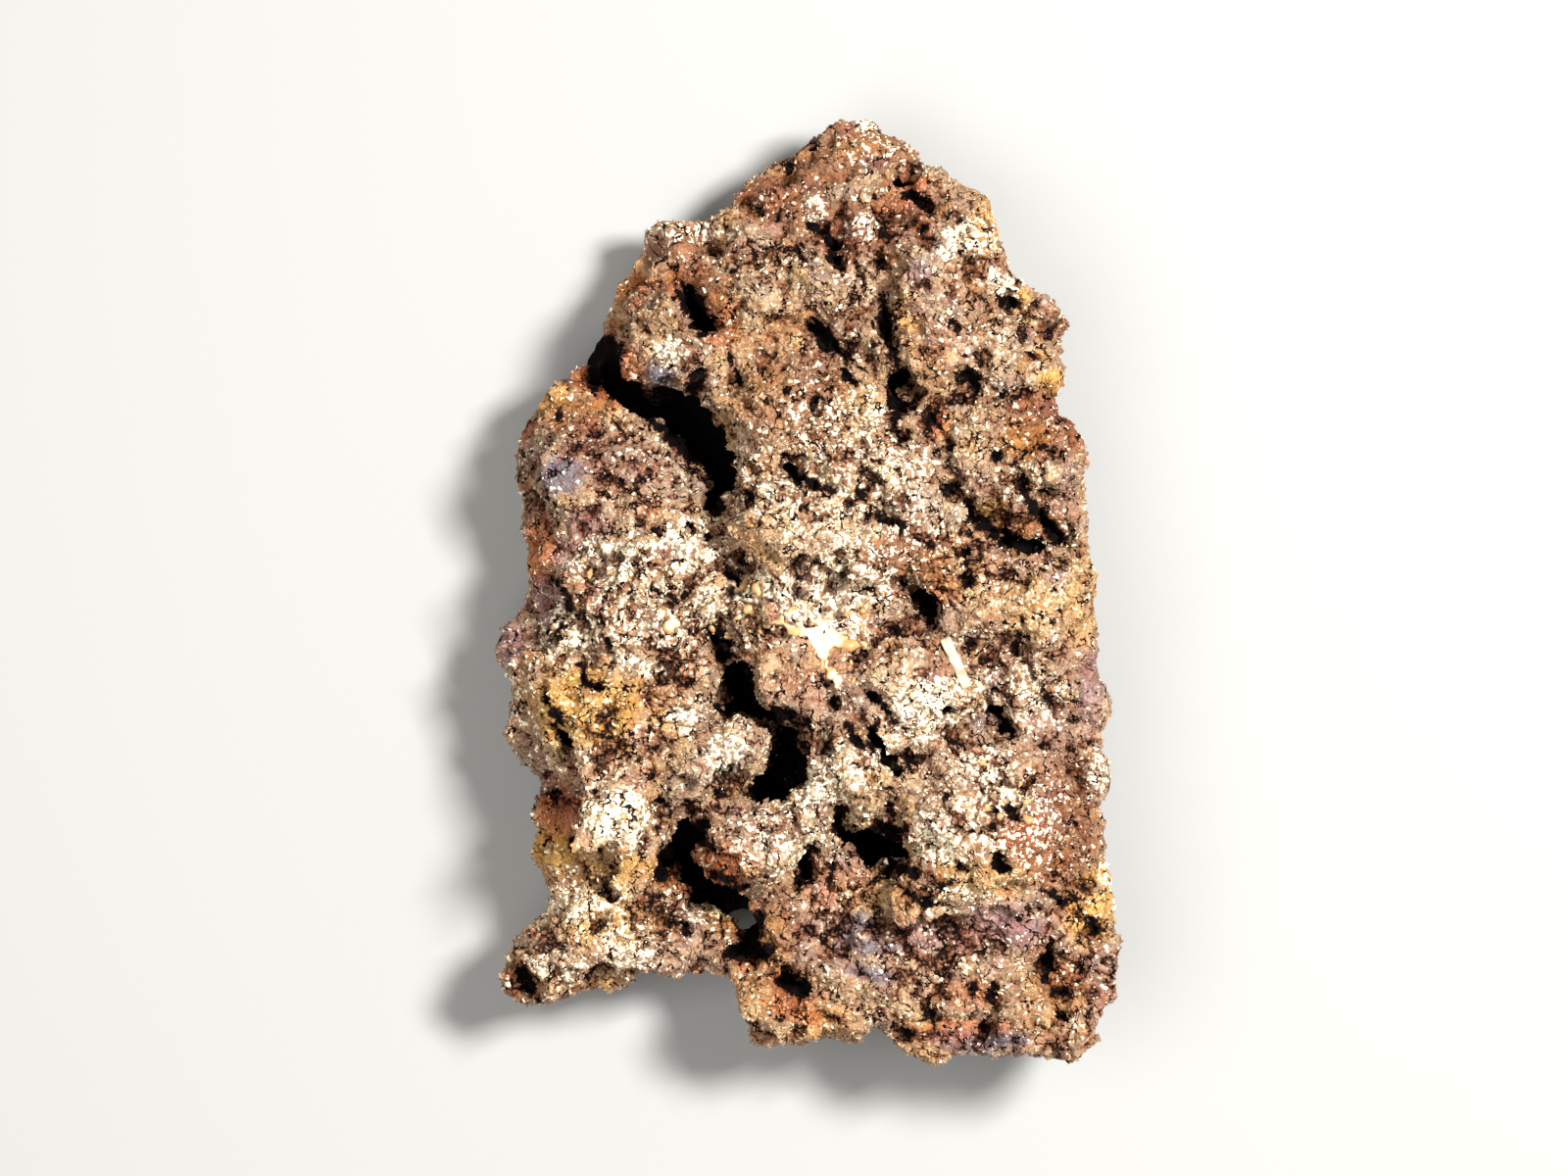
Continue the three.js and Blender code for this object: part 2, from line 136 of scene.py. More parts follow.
# Small crevices of the face: the line that each follows in pixels, its half width there and its depth in mm
CREVICES = [
    (((802, 475), (815, 490), (850, 505)), 7, 2.6), (((890, 528), (915, 540)), 7, 2.4),
    (((905, 405), (915, 430), (918, 455)), 6, 2.4), (((950, 425), (948, 440)), 7, 2.0),
    (((570, 585), (583, 622)), 5, 2.2), (((560, 650), (575, 635)), 6, 1.8),
    (((590, 680), (600, 697)), 7, 2.2), (((620, 650), (628, 665)), 4, 1.4),
    (((665, 600), (690, 615)), 5, 1.6), (((982, 572), (986, 592)), 6, 2.2),
    (((1036, 655), (1043, 650)), 6, 1.6), (((805, 255), (805, 270)), 4, 1.8),
    (((818, 255), (818, 270)), 4, 1.8), (((830, 248), (828, 264)), 4, 1.8),
    (((903, 232), (905, 245)), 6, 1.8), (((984, 382), (995, 395)), 8, 2.2),
    (((1021, 308), (1032, 312)), 8, 2.4), (((1040, 492), (1050, 515)), 7, 2.0),
    (((988, 512), (990, 525)), 6, 2.0), (((1006, 532), (1014, 544)), 9, 2.4),
    (((1068, 533), (1079, 549)), 10, 2.6), (((858, 384), (870, 394)), 6, 2.0),
    (((952, 607), (950, 636)), 8, 2.4), (((885, 706), (902, 722)), 7, 2.2),
    (((1008, 1012), (1014, 1022)), 7, 2.0), (((916, 1050), (930, 1055)), 6, 1.6),
    (((1072, 905), (1080, 917)), 7, 2.2), (((1065, 970), (1061, 997)), 6, 2.0),
    (((700, 938), (706, 950)), 5, 1.6), (((733, 936), (737, 952)), 6, 2.0),
    (((533, 985), (546, 1012)), 7, 2.0), (((906, 825), (908, 836)), 6, 1.8),
    (((1012, 866), (1018, 882)), 9, 2.4), (((920, 903), (934, 913), (952, 917)), 5, 2.0),
    (((850, 880), (845, 900)), 5, 2.0), (((834, 336), (848, 359)), 10, 3.0),
    (((898, 310), (908, 342)), 7, 2.2), (((914, 362), (928, 398)), 6, 2.2),
    (((742, 585), (750, 598)), 4, 1.2), (((560, 712), (575, 750)), 7, 2.8),
    (((765, 500), (770, 515)), 5, 1.6), (((735, 490), (732, 520)), 8, 2.4),
    (((758, 395), (752, 380)), 5, 1.8), (((655, 330), (668, 342)), 4, 1.2),
    (((930, 545), (950, 560)), 4, 1.2), (((803, 172), (812, 160)), 5, 1.8),
    (((918, 190), (942, 206)), 8, 3.0), (((830, 233), (848, 250), (858, 278)), 7, 3.0),
    (((703, 304), (722, 334)), 15, 4.5), (((608, 348), (604, 392)), 15, 4.5),
    (((625, 350), (628, 395)), 12, 4.0), (((712, 388), (705, 412)), 9, 4.0),
    (((664, 426), (710, 468)), 9, 4.0), (((895, 322), (901, 342)), 7, 3.0),
    (((911, 362), (914, 384)), 6, 2.4), (((907, 408), (916, 428)), 7, 2.4),
    (((1049, 522), (1066, 530)), 6, 2.2), (((732, 642), (742, 670)), 11, 4.5),
    (((790, 722), (818, 738)), 9, 4.0), (((866, 738), (872, 752), (890, 762)), 6, 3.0),
    (((890, 736), (889, 758)), 7, 3.0), (((922, 768), (932, 784)), 6, 2.6),
    (((1024, 736), (1034, 751)), 8, 3.0), (((678, 868), (675, 890)), 9, 3.5),
    (((716, 842), (722, 858)), 9, 4.0), (((728, 888), (757, 902)), 9, 4.0),
    (((828, 864), (818, 896)), 9, 4.0), (((856, 824), (854, 844)), 8, 3.4),
    (((890, 842), (920, 845)), 8, 4.0), (((912, 884), (931, 891)), 8, 3.0),
    (((771, 934), (769, 960)), 12, 4.5), (((747, 972), (782, 968)), 11, 4.0),
    (((799, 999), (822, 1008)), 10, 3.4),
]

# Small pits of the face: middle and half width in pixels, and depth in mm
PITS = [
    ((878, 503), 9, 2.4), ((615, 700), 8, 2.2), ((668, 545), 8, 1.8), ((705, 540), 6, 1.6),
    ((725, 550), 6, 1.6), ((745, 605), 5, 1.4), ((1045, 602), 6, 1.5), ((990, 653), 5, 1.3),
    ((1058, 660), 6, 1.6), ((962, 725), 6, 1.6), ((965, 747), 6, 1.6), ((941, 238), 9, 2.2),
    ((966, 333), 7, 2.0), ((975, 346), 6, 1.8), ((1050, 366), 7, 1.8), ((1016, 471), 9, 2.2),
    ((1033, 550), 9, 2.4), ((1062, 580), 6, 1.6), ((828, 412), 10, 2.4), ((803, 403), 6, 1.6),
    ((780, 410), 6, 1.6), ((880, 460), 6, 1.6), ((916, 325), 6, 2.0), ((912, 641), 6, 1.6),
    ((918, 593), 9, 2.4), ((853, 713), 9, 2.4), ((1063, 689), 5, 1.2), ((943, 1029), 8, 2.2),
    ((994, 1003), 7, 2.0), ((1112, 947), 7, 1.8), ((1088, 1008), 8, 2.2), ((610, 808), 7, 1.8),
    ((583, 862), 6, 1.4), ((660, 857), 7, 1.8), ((620, 880), 5, 1.4), ((1026, 823), 9, 2.2),
    ((963, 807), 8, 1.8), ((918, 945), 7, 1.8), ((985, 978), 6, 1.6), ((1004, 1042), 6, 1.6),
    ((826, 945), 5, 1.4), ((729, 808), 6, 1.4), ((640, 700), 6, 1.4), ((756, 200), 5, 1.8),
    ((864, 190), 4, 1.4), ((894, 206), 4, 1.4), ((572, 425), 7, 2.0), ((1069, 464), 7, 2.0),
    ((706, 641), 8, 2.4), ((737, 722), 9, 4.0), ((782, 910), 6, 2.0), ((906, 820), 5, 1.8),
    ((935, 914), 5, 1.8), ((767, 1037), 4, 1.2), ((1072, 1012), 6, 2.0),
]

# Where the surface is calmer than elsewhere: middle, half sizes and turn in degrees, then how calm
CALM = [
    ((632, 828), (36, 34), 0, 0.75), ((805, 700), (64, 20), -32, 0.6), ((702, 246), (56, 22), 0, 0.8),
    ((860, 165), (70, 38), 0, 0.45), ((575, 485), (30, 24), 0, 0.6), ((972, 676), (14, 34), 26, 0.7),
]

# Where no grain lies: the sinter of the bright pocket and the lath crystal
BARE = [((834, 652), (24, 16), -20, 1.0), ((972, 676), (10, 30), 26, 1.0), ((688, 635), (9, 8), 0, 1.0)]

# Colour patches of the face, by kind: middle, half sizes and turn in degrees, then strength
PATCHES = {
    "pale": [
        ((985, 245), (34, 24), 20, 1.0), ((1022, 293), (20, 12), 0, 0.9), ((880, 235), (16, 14), 0, 0.8),
        ((830, 215), (12, 18), 0, 0.8), ((880, 127), (14, 8), 0, 0.7), ((1116, 786), (14, 18), 0, 0.9),
        ((685, 362), (18, 14), 0, 0.9), ((742, 762), (20, 30), 0, 0.7), ((698, 730), (18, 16), 0, 0.6),
        ((652, 675), (34, 9), -18, 0.9), ((1025, 812), (26, 18), 0, 0.8), ((1005, 780), (30, 20), 0, 0.6),
        ((955, 855), (30, 18), 0, 0.8), ((620, 575), (40, 26), 0, 0.9), ((770, 600), (26, 20), 0, 0.9),
        ((632, 828), (33, 32), 0, 0.8), ((940, 720), (36, 34), 0, 0.75), ((700, 560), (40, 30), 0, 0.55),
        ((870, 590), (70, 26), 0, 0.5), ((850, 520), (120, 50), -14, 0.35), ((860, 440), (60, 40), 0, 0.4),
        ((850, 790), (76, 26), 28, 0.55), ((790, 850), (46, 30), 0, 0.45), ((1010, 830), (70, 50), 0, 0.45),
        ((640, 960), (36, 26), 0, 0.5), ((700, 610), (80, 60), 0, 0.35), ((915, 480), (40, 26), 0, 0.45),
        ((1075, 560), (24, 50), 0, 0.2), ((700, 236), (50, 14), 0, 0.35), ((895, 150), (30, 14), 0, 0.3),
        ((640, 640), (36, 20), 0, 0.45), ((588, 645), (32, 32), 0, 0.6), ((830, 620), (60, 20), -25, 0.8),
        ((975, 905), (30, 8), -10, 0.5), ((1125, 890), (8, 16), 0, 0.7), ((1010, 700), (40, 22), 0, 0.4),
        ((520, 705), (18, 40), 0, 0.4), ((600, 915), (44, 30), 0, 0.4), ((572, 985), (32, 24), 0, 0.4),
        ((1058, 715), (36, 26), 0, 0.45), ((715, 925), (30, 20), 0, 0.4),
    ],
    "gold": [
        ((1045, 445), (24, 22), 0, 0.8), ((1012, 525), (20, 16), 0, 0.8), ((600, 720), (62, 42), 0, 0.75),
        ((1112, 925), (28, 42), 0, 0.8), ((1075, 392), (20, 14), 0, 0.9), ((562, 870), (34, 24), 0, 0.8),
        ((1005, 232), (14, 30), 0, 0.8), ((925, 320), (16, 20), 0, 0.7), ((1040, 305), (14, 12), 0, 0.8),
        ((600, 425), (40, 22), 0, 0.4), ((630, 885), (50, 24), 0, 0.6), ((740, 930), (24, 26), 30, 0.8),
        ((1075, 1000), (34, 30), 0, 0.5), ((790, 960), (22, 26), 0, 0.6), ((960, 590), (50, 30), 0, 0.3),
        ((1100, 620), (20, 60), 0, 0.35), ((620, 940), (50, 30), 0, 0.45), ((1000, 890), (60, 20), 0, 0.4),
        ((840, 1040), (50, 20), 0, 0.4), ((560, 405), (24, 22), 0, 0.7), ((870, 150), (40, 18), 0, 0.35),
        ((1030, 620), (60, 30), 0, 0.3), ((880, 905), (30, 30), 0, 0.35), ((632, 828), (30, 28), 0, 0.35),
    ],
    "rust": [
        ((550, 560), (22, 34), 0, 0.8), ((572, 828), (22, 28), 0, 0.85), ((1040, 850), (30, 26), 0, 0.8),
        ((1078, 988), (24, 20), 0, 0.8), ((980, 1045), (60, 10), 5, 0.75),
        ((812, 1026), (28, 14), -15, 0.85), ((618, 375), (34, 46), 35, 0.95),
        ((722, 885), (50, 28), 10, 1.0), ((930, 192), (24, 18), 0, 0.9), ((956, 430), (12, 24), 0, 0.8),
        ((700, 290), (26, 22), 0, 0.6), ((640, 290), (26, 18), 0, 0.7), ((835, 905), (26, 22), 0, 0.6),
        ((915, 210), (30, 14), 0, 0.6), ((960, 600), (16, 22), 0, 0.5), ((855, 255), (18, 26), 0, 0.7),
        ((735, 330), (24, 30), 0, 0.7), ((1100, 440), (12, 30), 0, 0.5), ((985, 1010), (40, 14), 0, 0.5),
        ((765, 970), (16, 22), 0, 0.9), ((800, 1000), (14, 16), 0, 0.8), ((530, 440), (16, 18), 0, 0.7),
        ((540, 1000), (20, 16), 0, 0.5), ((830, 690), (30, 14), 0, 0.3), ((780, 210), (30, 24), 0, 0.4),
        ((1060, 535), (30, 16), 0, 0.5), ((1070, 860), (24, 50), 0, 0.25),
    ],
    "mauve": [
        ((600, 538), (26, 16), -20, 0.8), ((588, 562), (24, 18), 0, 0.8), ((560, 612), (22, 24), 0, 0.8),
        ((522, 655), (16, 24), 0, 0.9), ((936, 282), (12, 10), 0, 0.8), ((932, 318), (9, 8), 0, 0.9),
        ((1042, 345), (12, 10), 0, 0.9), ((947, 690), (10, 8), 0, 0.8), ((1112, 710), (16, 60), 0, 0.7),
        ((1025, 940), (46, 24), -8, 0.85), ((940, 950), (30, 22), 0, 0.7), ((985, 955), (30, 18), 0, 0.7),
        ((870, 880), (22, 26), 40, 0.6), ((855, 135), (16, 14), 0, 0.6), ((630, 470), (60, 36), -12, 0.4),
        ((1060, 300), (14, 24), 0, 0.4), ((600, 450), (16, 22), 0, 0.6), ((1000, 1055), (60, 14), 0, 0.6),
        ((1120, 1000), (16, 50), 0, 0.5), ((820, 960), (24, 34), 0, 0.4), ((550, 895), (14, 16), 0, 0.5),
        ((775, 840), (40, 34), 0, 0.3), ((1060, 430), (40, 12), 20, 0.4), ((880, 1040), (30, 12), 0, 0.3),
        ((1075, 745), (34, 40), 0, 0.4), ((1085, 500), (16, 40), 0, 0.35), ((540, 740), (14, 20), 0, 0.4),
    ],
    "slate": [
        ((575, 485), (27, 20), 10, 1.0), ((678, 385), (15, 12), 0, 1.0), ((890, 168), (14, 9), 0, 0.9),
        ((870, 940), (18, 12), 25, 0.9), ((885, 962), (36, 8), -6, 0.9), ((892, 990), (34, 8), -8, 0.9),
        ((985, 1066), (28, 7), 0, 0.8), ((1022, 1058), (26, 7), 5, 0.8), ((700, 500), (20, 16), 0, 0.3),
        ((835, 285), (14, 10), 0, 0.4), ((655, 900), (10, 8), 0, 0.4), ((618, 875), (14, 10), 0, 0.4),
        ((1000, 735), (14, 12), 0, 0.6), ((690, 560), (12, 10), 0, 0.4),
    ],
    # Dark brown patches that darken parts of the face
    "umber": [
        ((860, 160), (74, 34), 30, 0.9), ((800, 200), (50, 32), 0, 0.95), ((860, 235), (70, 32), 0, 0.85),
        ((925, 222), (44, 24), 0, 0.7), ((700, 250), (56, 22), 0, 0.6), ((708, 296), (36, 20), 0, 0.7),
        ((810, 400), (70, 60), 0, 0.6), ((925, 572), (44, 38), 0, 0.9), ((790, 925), (34, 30), 0, 0.7),
        ((900, 150), (60, 26), 20, 0.85), ((1000, 290), (40, 34), 0, 0.4), ((1060, 990), (50, 40), 0, 0.4),
        ((612, 368), (32, 46), 10, 0.9), ((585, 428), (34, 26), 0, 0.85), ((1062, 430), (50, 38), 0, 0.95),
        ((925, 430), (26, 40), 0, 0.35), ((1050, 540), (50, 30), 0, 0.4), ((572, 815), (26, 22), 0, 0.6),
        ((1065, 880), (30, 44), 0, 0.45), ((765, 945), (40, 40), 0, 0.6), ((710, 900), (50, 34), 0, 0.4),
        ((810, 1002), (28, 20), 0, 0.6), ((1080, 995), (26, 28), 0, 0.6), ((530, 1000), (18, 24), 0, 0.6),
        ((905, 665), (14, 10), 0, 0.6), ((966, 684), (18, 34), 26, 0.4), ((655, 300), (30, 16), 0, 0.5),
        ((1075, 840), (52, 70), 0, 0.8),
    ],
}

# The pocket's smooth lining: the line of each arm in pixels, and its half width at both ends
SINTER_ARMS = [
    (((828, 648), (840, 658)), (11, 12)),
    (((818, 644), (797, 635)), (7, 4)),
    (((798, 629), (821, 611)), (4.5, 4)),
    (((834, 642), (846, 630)), (7, 4)),
    (((850, 652), (888, 660)), (9, 5)),
    (((840, 666), (838, 679)), (8, 5)),
    (((848, 684), (856, 700)), (6, 5)),
    (((683, 640), (692, 632)), (8, 7)),
]

# Where flakes of it lie about: middle and half sizes in pixels, then how many
SINTER_FLAKES = [
    ((800, 632), (46, 14), 16), ((742, 640), (24, 12), 8), ((857, 688), (12, 16), 6),
    ((878, 628), (30, 12), 7), ((1018, 815), (26, 16), 12), ((773, 599), (16, 11), 9),
    ((622, 575), (30, 22), 12), ((1002, 778), (18, 10), 4),
]

# The brightest of it, where a glow is painted for light shining through the pocket: middle, half sizes and
# turn in degrees, then strength
PAINTED_GLOW = [((834, 652), (21, 19), 30, 1.0), ((688, 636), (9, 8), 0, 0.5), ((852, 694), (10, 12), 0, 0.6)]

# The lath crystal: both ends of it, and its width and thickness
LATH_ENDS_PX = ((961, 650), (984, 700))
LATH_WIDTH_PX = 11
LATH_DEPTH_PX = 12

# How fine the patterns of the finishes are, in repeats a metre
SINTERED_GRAINS = 4200.0
HAIR_CRACKS = 900.0
CRACK_SWAY = 1500.0
FINE_RELIEF = 9000.0
SINTER_CLOUDS = 500.0
LATH_STREAKS = 1400.0

# The kinds of tarnish, gold, rust, mauve and slate, and umber, dark brown patches, each with the most of the
# bronze that it hides, and pale, which is a share of grains
TARNISH = {"gold": 0.85, "rust": 0.9, "mauve": 0.8, "slate": 0.9, "umber": 0.9}
KINDS = ("pale", *TARNISH)
TARNISH_ON_DARK = 0.55  # how much of it a dark grain takes, against a light one

# The two inputs and the output that a Mix node has for each type of data
MIX_SOCKETS = {"VECTOR": (4, 5, 1), "RGBA": (6, 7, 2)}

SCREEN_GAMMA = 2.2
MERGE_RANGE = 0.001 * MM
FLAT_RANGE = 0.05 * MM
FACE_FOOT = 10 * MM  # cracks run deeper above this height
BACK_FADE = (3 * MM, 7 * MM)  # clumps grow lower from the second of these heights down to the first
SIDE_FADE = (5 * MM, 11 * MM)  # clouds of colour grow fainter from the first up to the second
CREVICE_FOOT = 5 * MM  # no crevice is cut below this height
CREVICE_WALL = (0.6, 1.15)  # where a crevice's wall starts and ends, in half widths
CREVICE_SHADE = (0.4, 1.0)  # and the same for the painted shade in it
RIM_BELT = (0.6 * MM, 1.8 * MM)  # how far above and below the rim the wall is drawn to the silhouette
RIM_PULL = (0.7 * MM, 1.8 * MM)  # and from how far inside it
TOP_SQUEEZE = 0.5  # the share that is taken off what stands too high
MAP_CORNERS = [[0.2, 0.2], [0.8, 0.2], [0.5, 0.8]]  # a triangle in its grain's cell of the map
CLUMP_RADIUS = 0.75  # how far a clump's round top reaches, in clump widths
CLUMP_LEVEL = 0.55  # the height on a clump that stays where the surface was
CREASE_LINE = (0.03, 0.17)  # a crease's middle and edge, in clump widths
SHADE_LINE = (0.02, 0.12)  # and those of the painted shade in it
PATCH_FADE = (0.65, 1.25)  # where a patch starts to fade and where it ends, in half sizes


def srgb(red, green, blue):
    """A screen colour from 0 to 255 as Blender's linear colour."""
    return tuple((c / 255) ** SCREEN_GAMMA for c in (red, green, blue))


def colour(name, description, red, green, blue):
    return FloatVectorProperty(
        name=name,
        description=description,
        subtype="COLOR",
        size=3,
        min=0,
        max=1,
        default=srgb(red, green, blue),
    )


def length(name, description, millimetres):
    return FloatProperty(
        name=name,
        description=description,
        subtype="DISTANCE",
        unit="LENGTH",
        default=millimetres * MM,
        precision=5,
    )


def fraction(name, description, value):
    return FloatProperty(name=name, description=description, default=value, min=0, max=1)


def amount(name, description, value):
    return IntProperty(name=name, description=description, default=value, min=1)


def power(name, description, watts):
    return FloatProperty(name=name, description=description, subtype="POWER", default=watts)


class CrustSettings(bpy.types.PropertyGroup):
    """Sizes of the crust's relief."""

    first_voxel: length("First voxel", "Size of the remesh that the large clumps are raised on", 0.4)
    last_voxel: length("Last voxel", "Size of the remesh that the small clumps are raised on", 0.27)
    triangles: amount("Triangles", "About how many triangles the crust keeps", 194000)
    large_clump: length("Large clump", "Width of the large clumps", 3.4)
    large_height: length("Large clump height", "How far they stand out of their creases", 1.1)
    middle_clump: length("Middle clump", "Width of the middle clumps", 1.5)
    middle_height: length("Middle clump height", "How far they stand out of their creases", 0.85)
    small_clump: length("Small clump", "Width of the small clumps", 0.75)
    small_height: length("Small clump height", "How far they stand out of their creases", 0.42)
    step: length("Step", "How far one clump stands above the next", 0.35)
    crack_depth: length("Crack depth", "Depth of the cracks where they run between clumps", 0.9)
    ragged_size: length("Ragged size", "Width of the bends that break up smooth edges", 2.6)
    ragged_reach: length("Ragged reach", "How far the bends shove the surface about", 1.2)
    rim_height: length("Rim height", "Where the crust is widest", 9.5)
    rim_rise_right: fraction("Rim rise", "How fast the rim climbs to the right", 0.15)
    rim_drop_tip: fraction("Rim drop", "How fast it drops to the tip", 0.08)
    top_room: length("Top room", "Clumps that reach higher than this under the solid's top are lowered", 1.0)
    # Painted shade: the most that a crease between clumps is darkened, and how far under the crust around
    # them the great pits start to be painted dark
    crease_shade: fraction("Crease dark", "The most that a crease between clumps darkens", 0.72)
    pit_depth: length("Pit depth", "How far under the crust around them the great pits turn dark", 3.8)


class GrainSettings(bpy.types.PropertyGroup):
    """Sizes and numbers of the grains."""

    least: length("Least grain", "Width of the smallest grain", 0.12)
    most: length("Largest grain", "Width of the largest grain", 0.5)
    count: amount("Grains", "How many grains the crust is sown with", 84000)
    share: amount("Grains a piece", "The most grains that one piece holds", 21000)
    shapes: amount("Shapes", "How many different grains there are", 24)


class ColourSettings(bpy.types.PropertyGroup):
    """Colours of the sulphide and its tarnish, and of its painted shade and painted glow."""

    # Painted shade: near black at the bottom of creases, pits and crevices, and also the colour of the
    # crust's hair cracks
    painted_shade_and_cracks: colour("Deep", "The bottom of creases and pits", 14, 5, 3)
    # Painted shade on the walls of creases and pits, browned like the rust-dark patina of their hollows; also
    # the crust's dark joints and the dark brown umber patches
    umber: colour("Umber", "The walls of creases and pits, and dark stains", 108, 54, 26)
    bronze_dark: colour("Dark bronze", "The darker grains", 108, 72, 44)
    bronze: colour("Bronze", "The lighter grains", 187, 164, 133)
    # Cream grains are pale sugary matter and also stand in as painted glints
    cream: colour("Cream", "The palest grains", 252, 242, 210)
    gold: colour("Gold", "Yellow tarnish", 206, 156, 60)
    rust: colour("Rust", "Orange-brown tarnish", 170, 84, 26)
    mauve: colour("Mauve", "Purple tarnish", 118, 82, 98)
    slate: colour("Slate", "Blue-grey tarnish", 84, 90, 108)
    # The lining's colour runs from its edge to sinter, and its emission from glow edge to glow, by one mask:
    # a painted glow for light shining through the pocket
    sinter: colour("Sinter", "The smooth lining of the pocket", 255, 238, 188)
    sinter_edge: colour("Sinter edge", "The lining where it is thin", 176, 132, 84)
    glow: colour("Glow", "The light that comes out of the lining", 255, 238, 196)
    glow_edge: colour("Glow edge", "The same where it is thin", 60, 36, 16)
    lath: colour("Lath", "The lath crystal", 190, 176, 146)
    lath_streak: colour("Lath streak", "The streaks in it", 138, 120, 96)
    floor: colour("Floor", "The pale floor", 144, 143, 140)


class StageSettings(bpy.types.PropertyGroup):
    """The lights and the camera."""

    lens: FloatProperty(name="Lens", description="Focal length", subtype="DISTANCE_CAMERA", default=200)
    key: power("Key light", "Power of the key light", 4.15)
    fill: power("Fill light", "Power of the fill light", 1.5)
    sky: fraction("Sky", "Strength of the light from all sides", 0.3)


class Number:
    """A number on a node's output. Expressions on it add Math nodes."""

    def __init__(self, paint, socket):
        self.paint = paint
        self.socket = socket

    def maths(self, operation, *values, clamp=False):
        settings = {"operation": operation, "use_clamp": clamp}
        return self.paint.number("Math", settings, dict(enumerate(values)))

    def __add__(self, other):
        return self.maths("ADD", self, other)

    def __sub__(self, other):
        return self.maths("SUBTRACT", self, other)

    def __rsub__(self, other):
        return self.maths("SUBTRACT", other, self)

    def __mul__(self, other):
        return self.maths("MULTIPLY", self, other)

    def __gt__(self, other):
        return self.maths("GREATER_THAN", self, other)

    def __lt__(self, other):
        return self.maths("LESS_THAN", self, other)

    __radd__ = __add__
    __rmul__ = __mul__

    def clamped(self):
        return self.maths("ADD", self, 0.0, clamp=True)

    def between(self, low, high):
        """0 below low, 1 above high, and smooth between them."""
        sockets = {"Value": self, "From Min": low, "From Max": high}
        return self.paint.number("MapRange", {"interpolation_type": "SMOOTHSTEP"}, sockets)


class Paint:
    """One material's nodes."""

    def __init__(self, name):
        self.material = bpy.data.materials.new(name)
        self.material.use_nodes = True
        self.tree = self.material.node_tree
        self.tree.nodes.clear()

    def node(self, kind, settings=None, sockets=None):
        """Adds a node: its type, its settings, and the values or links of its sockets."""
        node = self.tree.nodes.new("ShaderNode" + kind)
        for name, value in (settings or {}).items():
            setattr(node, name, value)
        for name, value in (sockets or {}).items():
            value = value.socket if isinstance(value, Number) else value
            if isinstance(value, bpy.types.NodeSocket):
                self.tree.links.new(value, node.inputs[name])
            else:
                node.inputs[name].default_value = value
        return node

    def number(self, kind, settings=None, sockets=None, output=0):
        return Number(self, self.node(kind, settings, sockets).outputs[output])

    def attribute(self, name):
        return self.number("Attribute", {"attribute_name": name}, output="Fac")

    def mix(self, data_type, factor, first, second):
        """A Mix node's result for values of this type."""
        one, two, result = MIX_SOCKETS[data_type]
        node = self.node("Mix", {"data_type": data_type}, {0: factor, one: first, two: second})
        return node.outputs[result]

    def blend(self, factor, first, second):
        """The first colour where the factor is 0, and the second where it is 1."""
        colours = [c if isinstance(c, bpy.types.NodeSocket) else (*c, 1) for c in (first, second)]
        return self.mix("RGBA", factor, *colours)

    def noise_texture(self, here, scale, detail):
        return self.node("TexNoise", None, {"Vector": here, "Scale": scale, "Detail": detail})

    def finish(self, **sockets):
        """Ends the material in a Principled shader with these sockets, and returns it."""
        named = {name.replace("_", " "): value for name, value in sockets.items()}
        shader = self.node("BsdfPrincipled", None, named)
        self.node("OutputMaterial", None, {"Surface": shader.outputs[0]})
        return self.material


def tarnished(paint, colours, tint, cream, painted_shade_and_cracks):
    """Bronze between its dark and light tones, then each tarnish and the dark brown umber patches, then
    cream, then the painted shade of creases and pits in umber and near black.
    """
    tone = paint.blend(tint, colours.bronze_dark, colours.bronze)
    for kind, most in TARNISH.items():
        hidden = paint.attribute(kind) * (TARNISH_ON_DARK + (1 - TARNISH_ON_DARK) * tint) * most
        tone = paint.blend(hidden, tone, getattr(colours, kind))
    tone = paint.blend(cream, tone, colours.cream)
    # Painted shade: umber in creases and pits, browned like the patina of their hollows, then near black at
    # their bottoms
    tone = paint.blend(painted_shade_and_cracks.between(0.1, 0.8) * 0.8, tone, colours.umber)
    return paint.blend(painted_shade_and_cracks.between(0.4, 1.0), tone, colours.painted_shade_and_cracks)


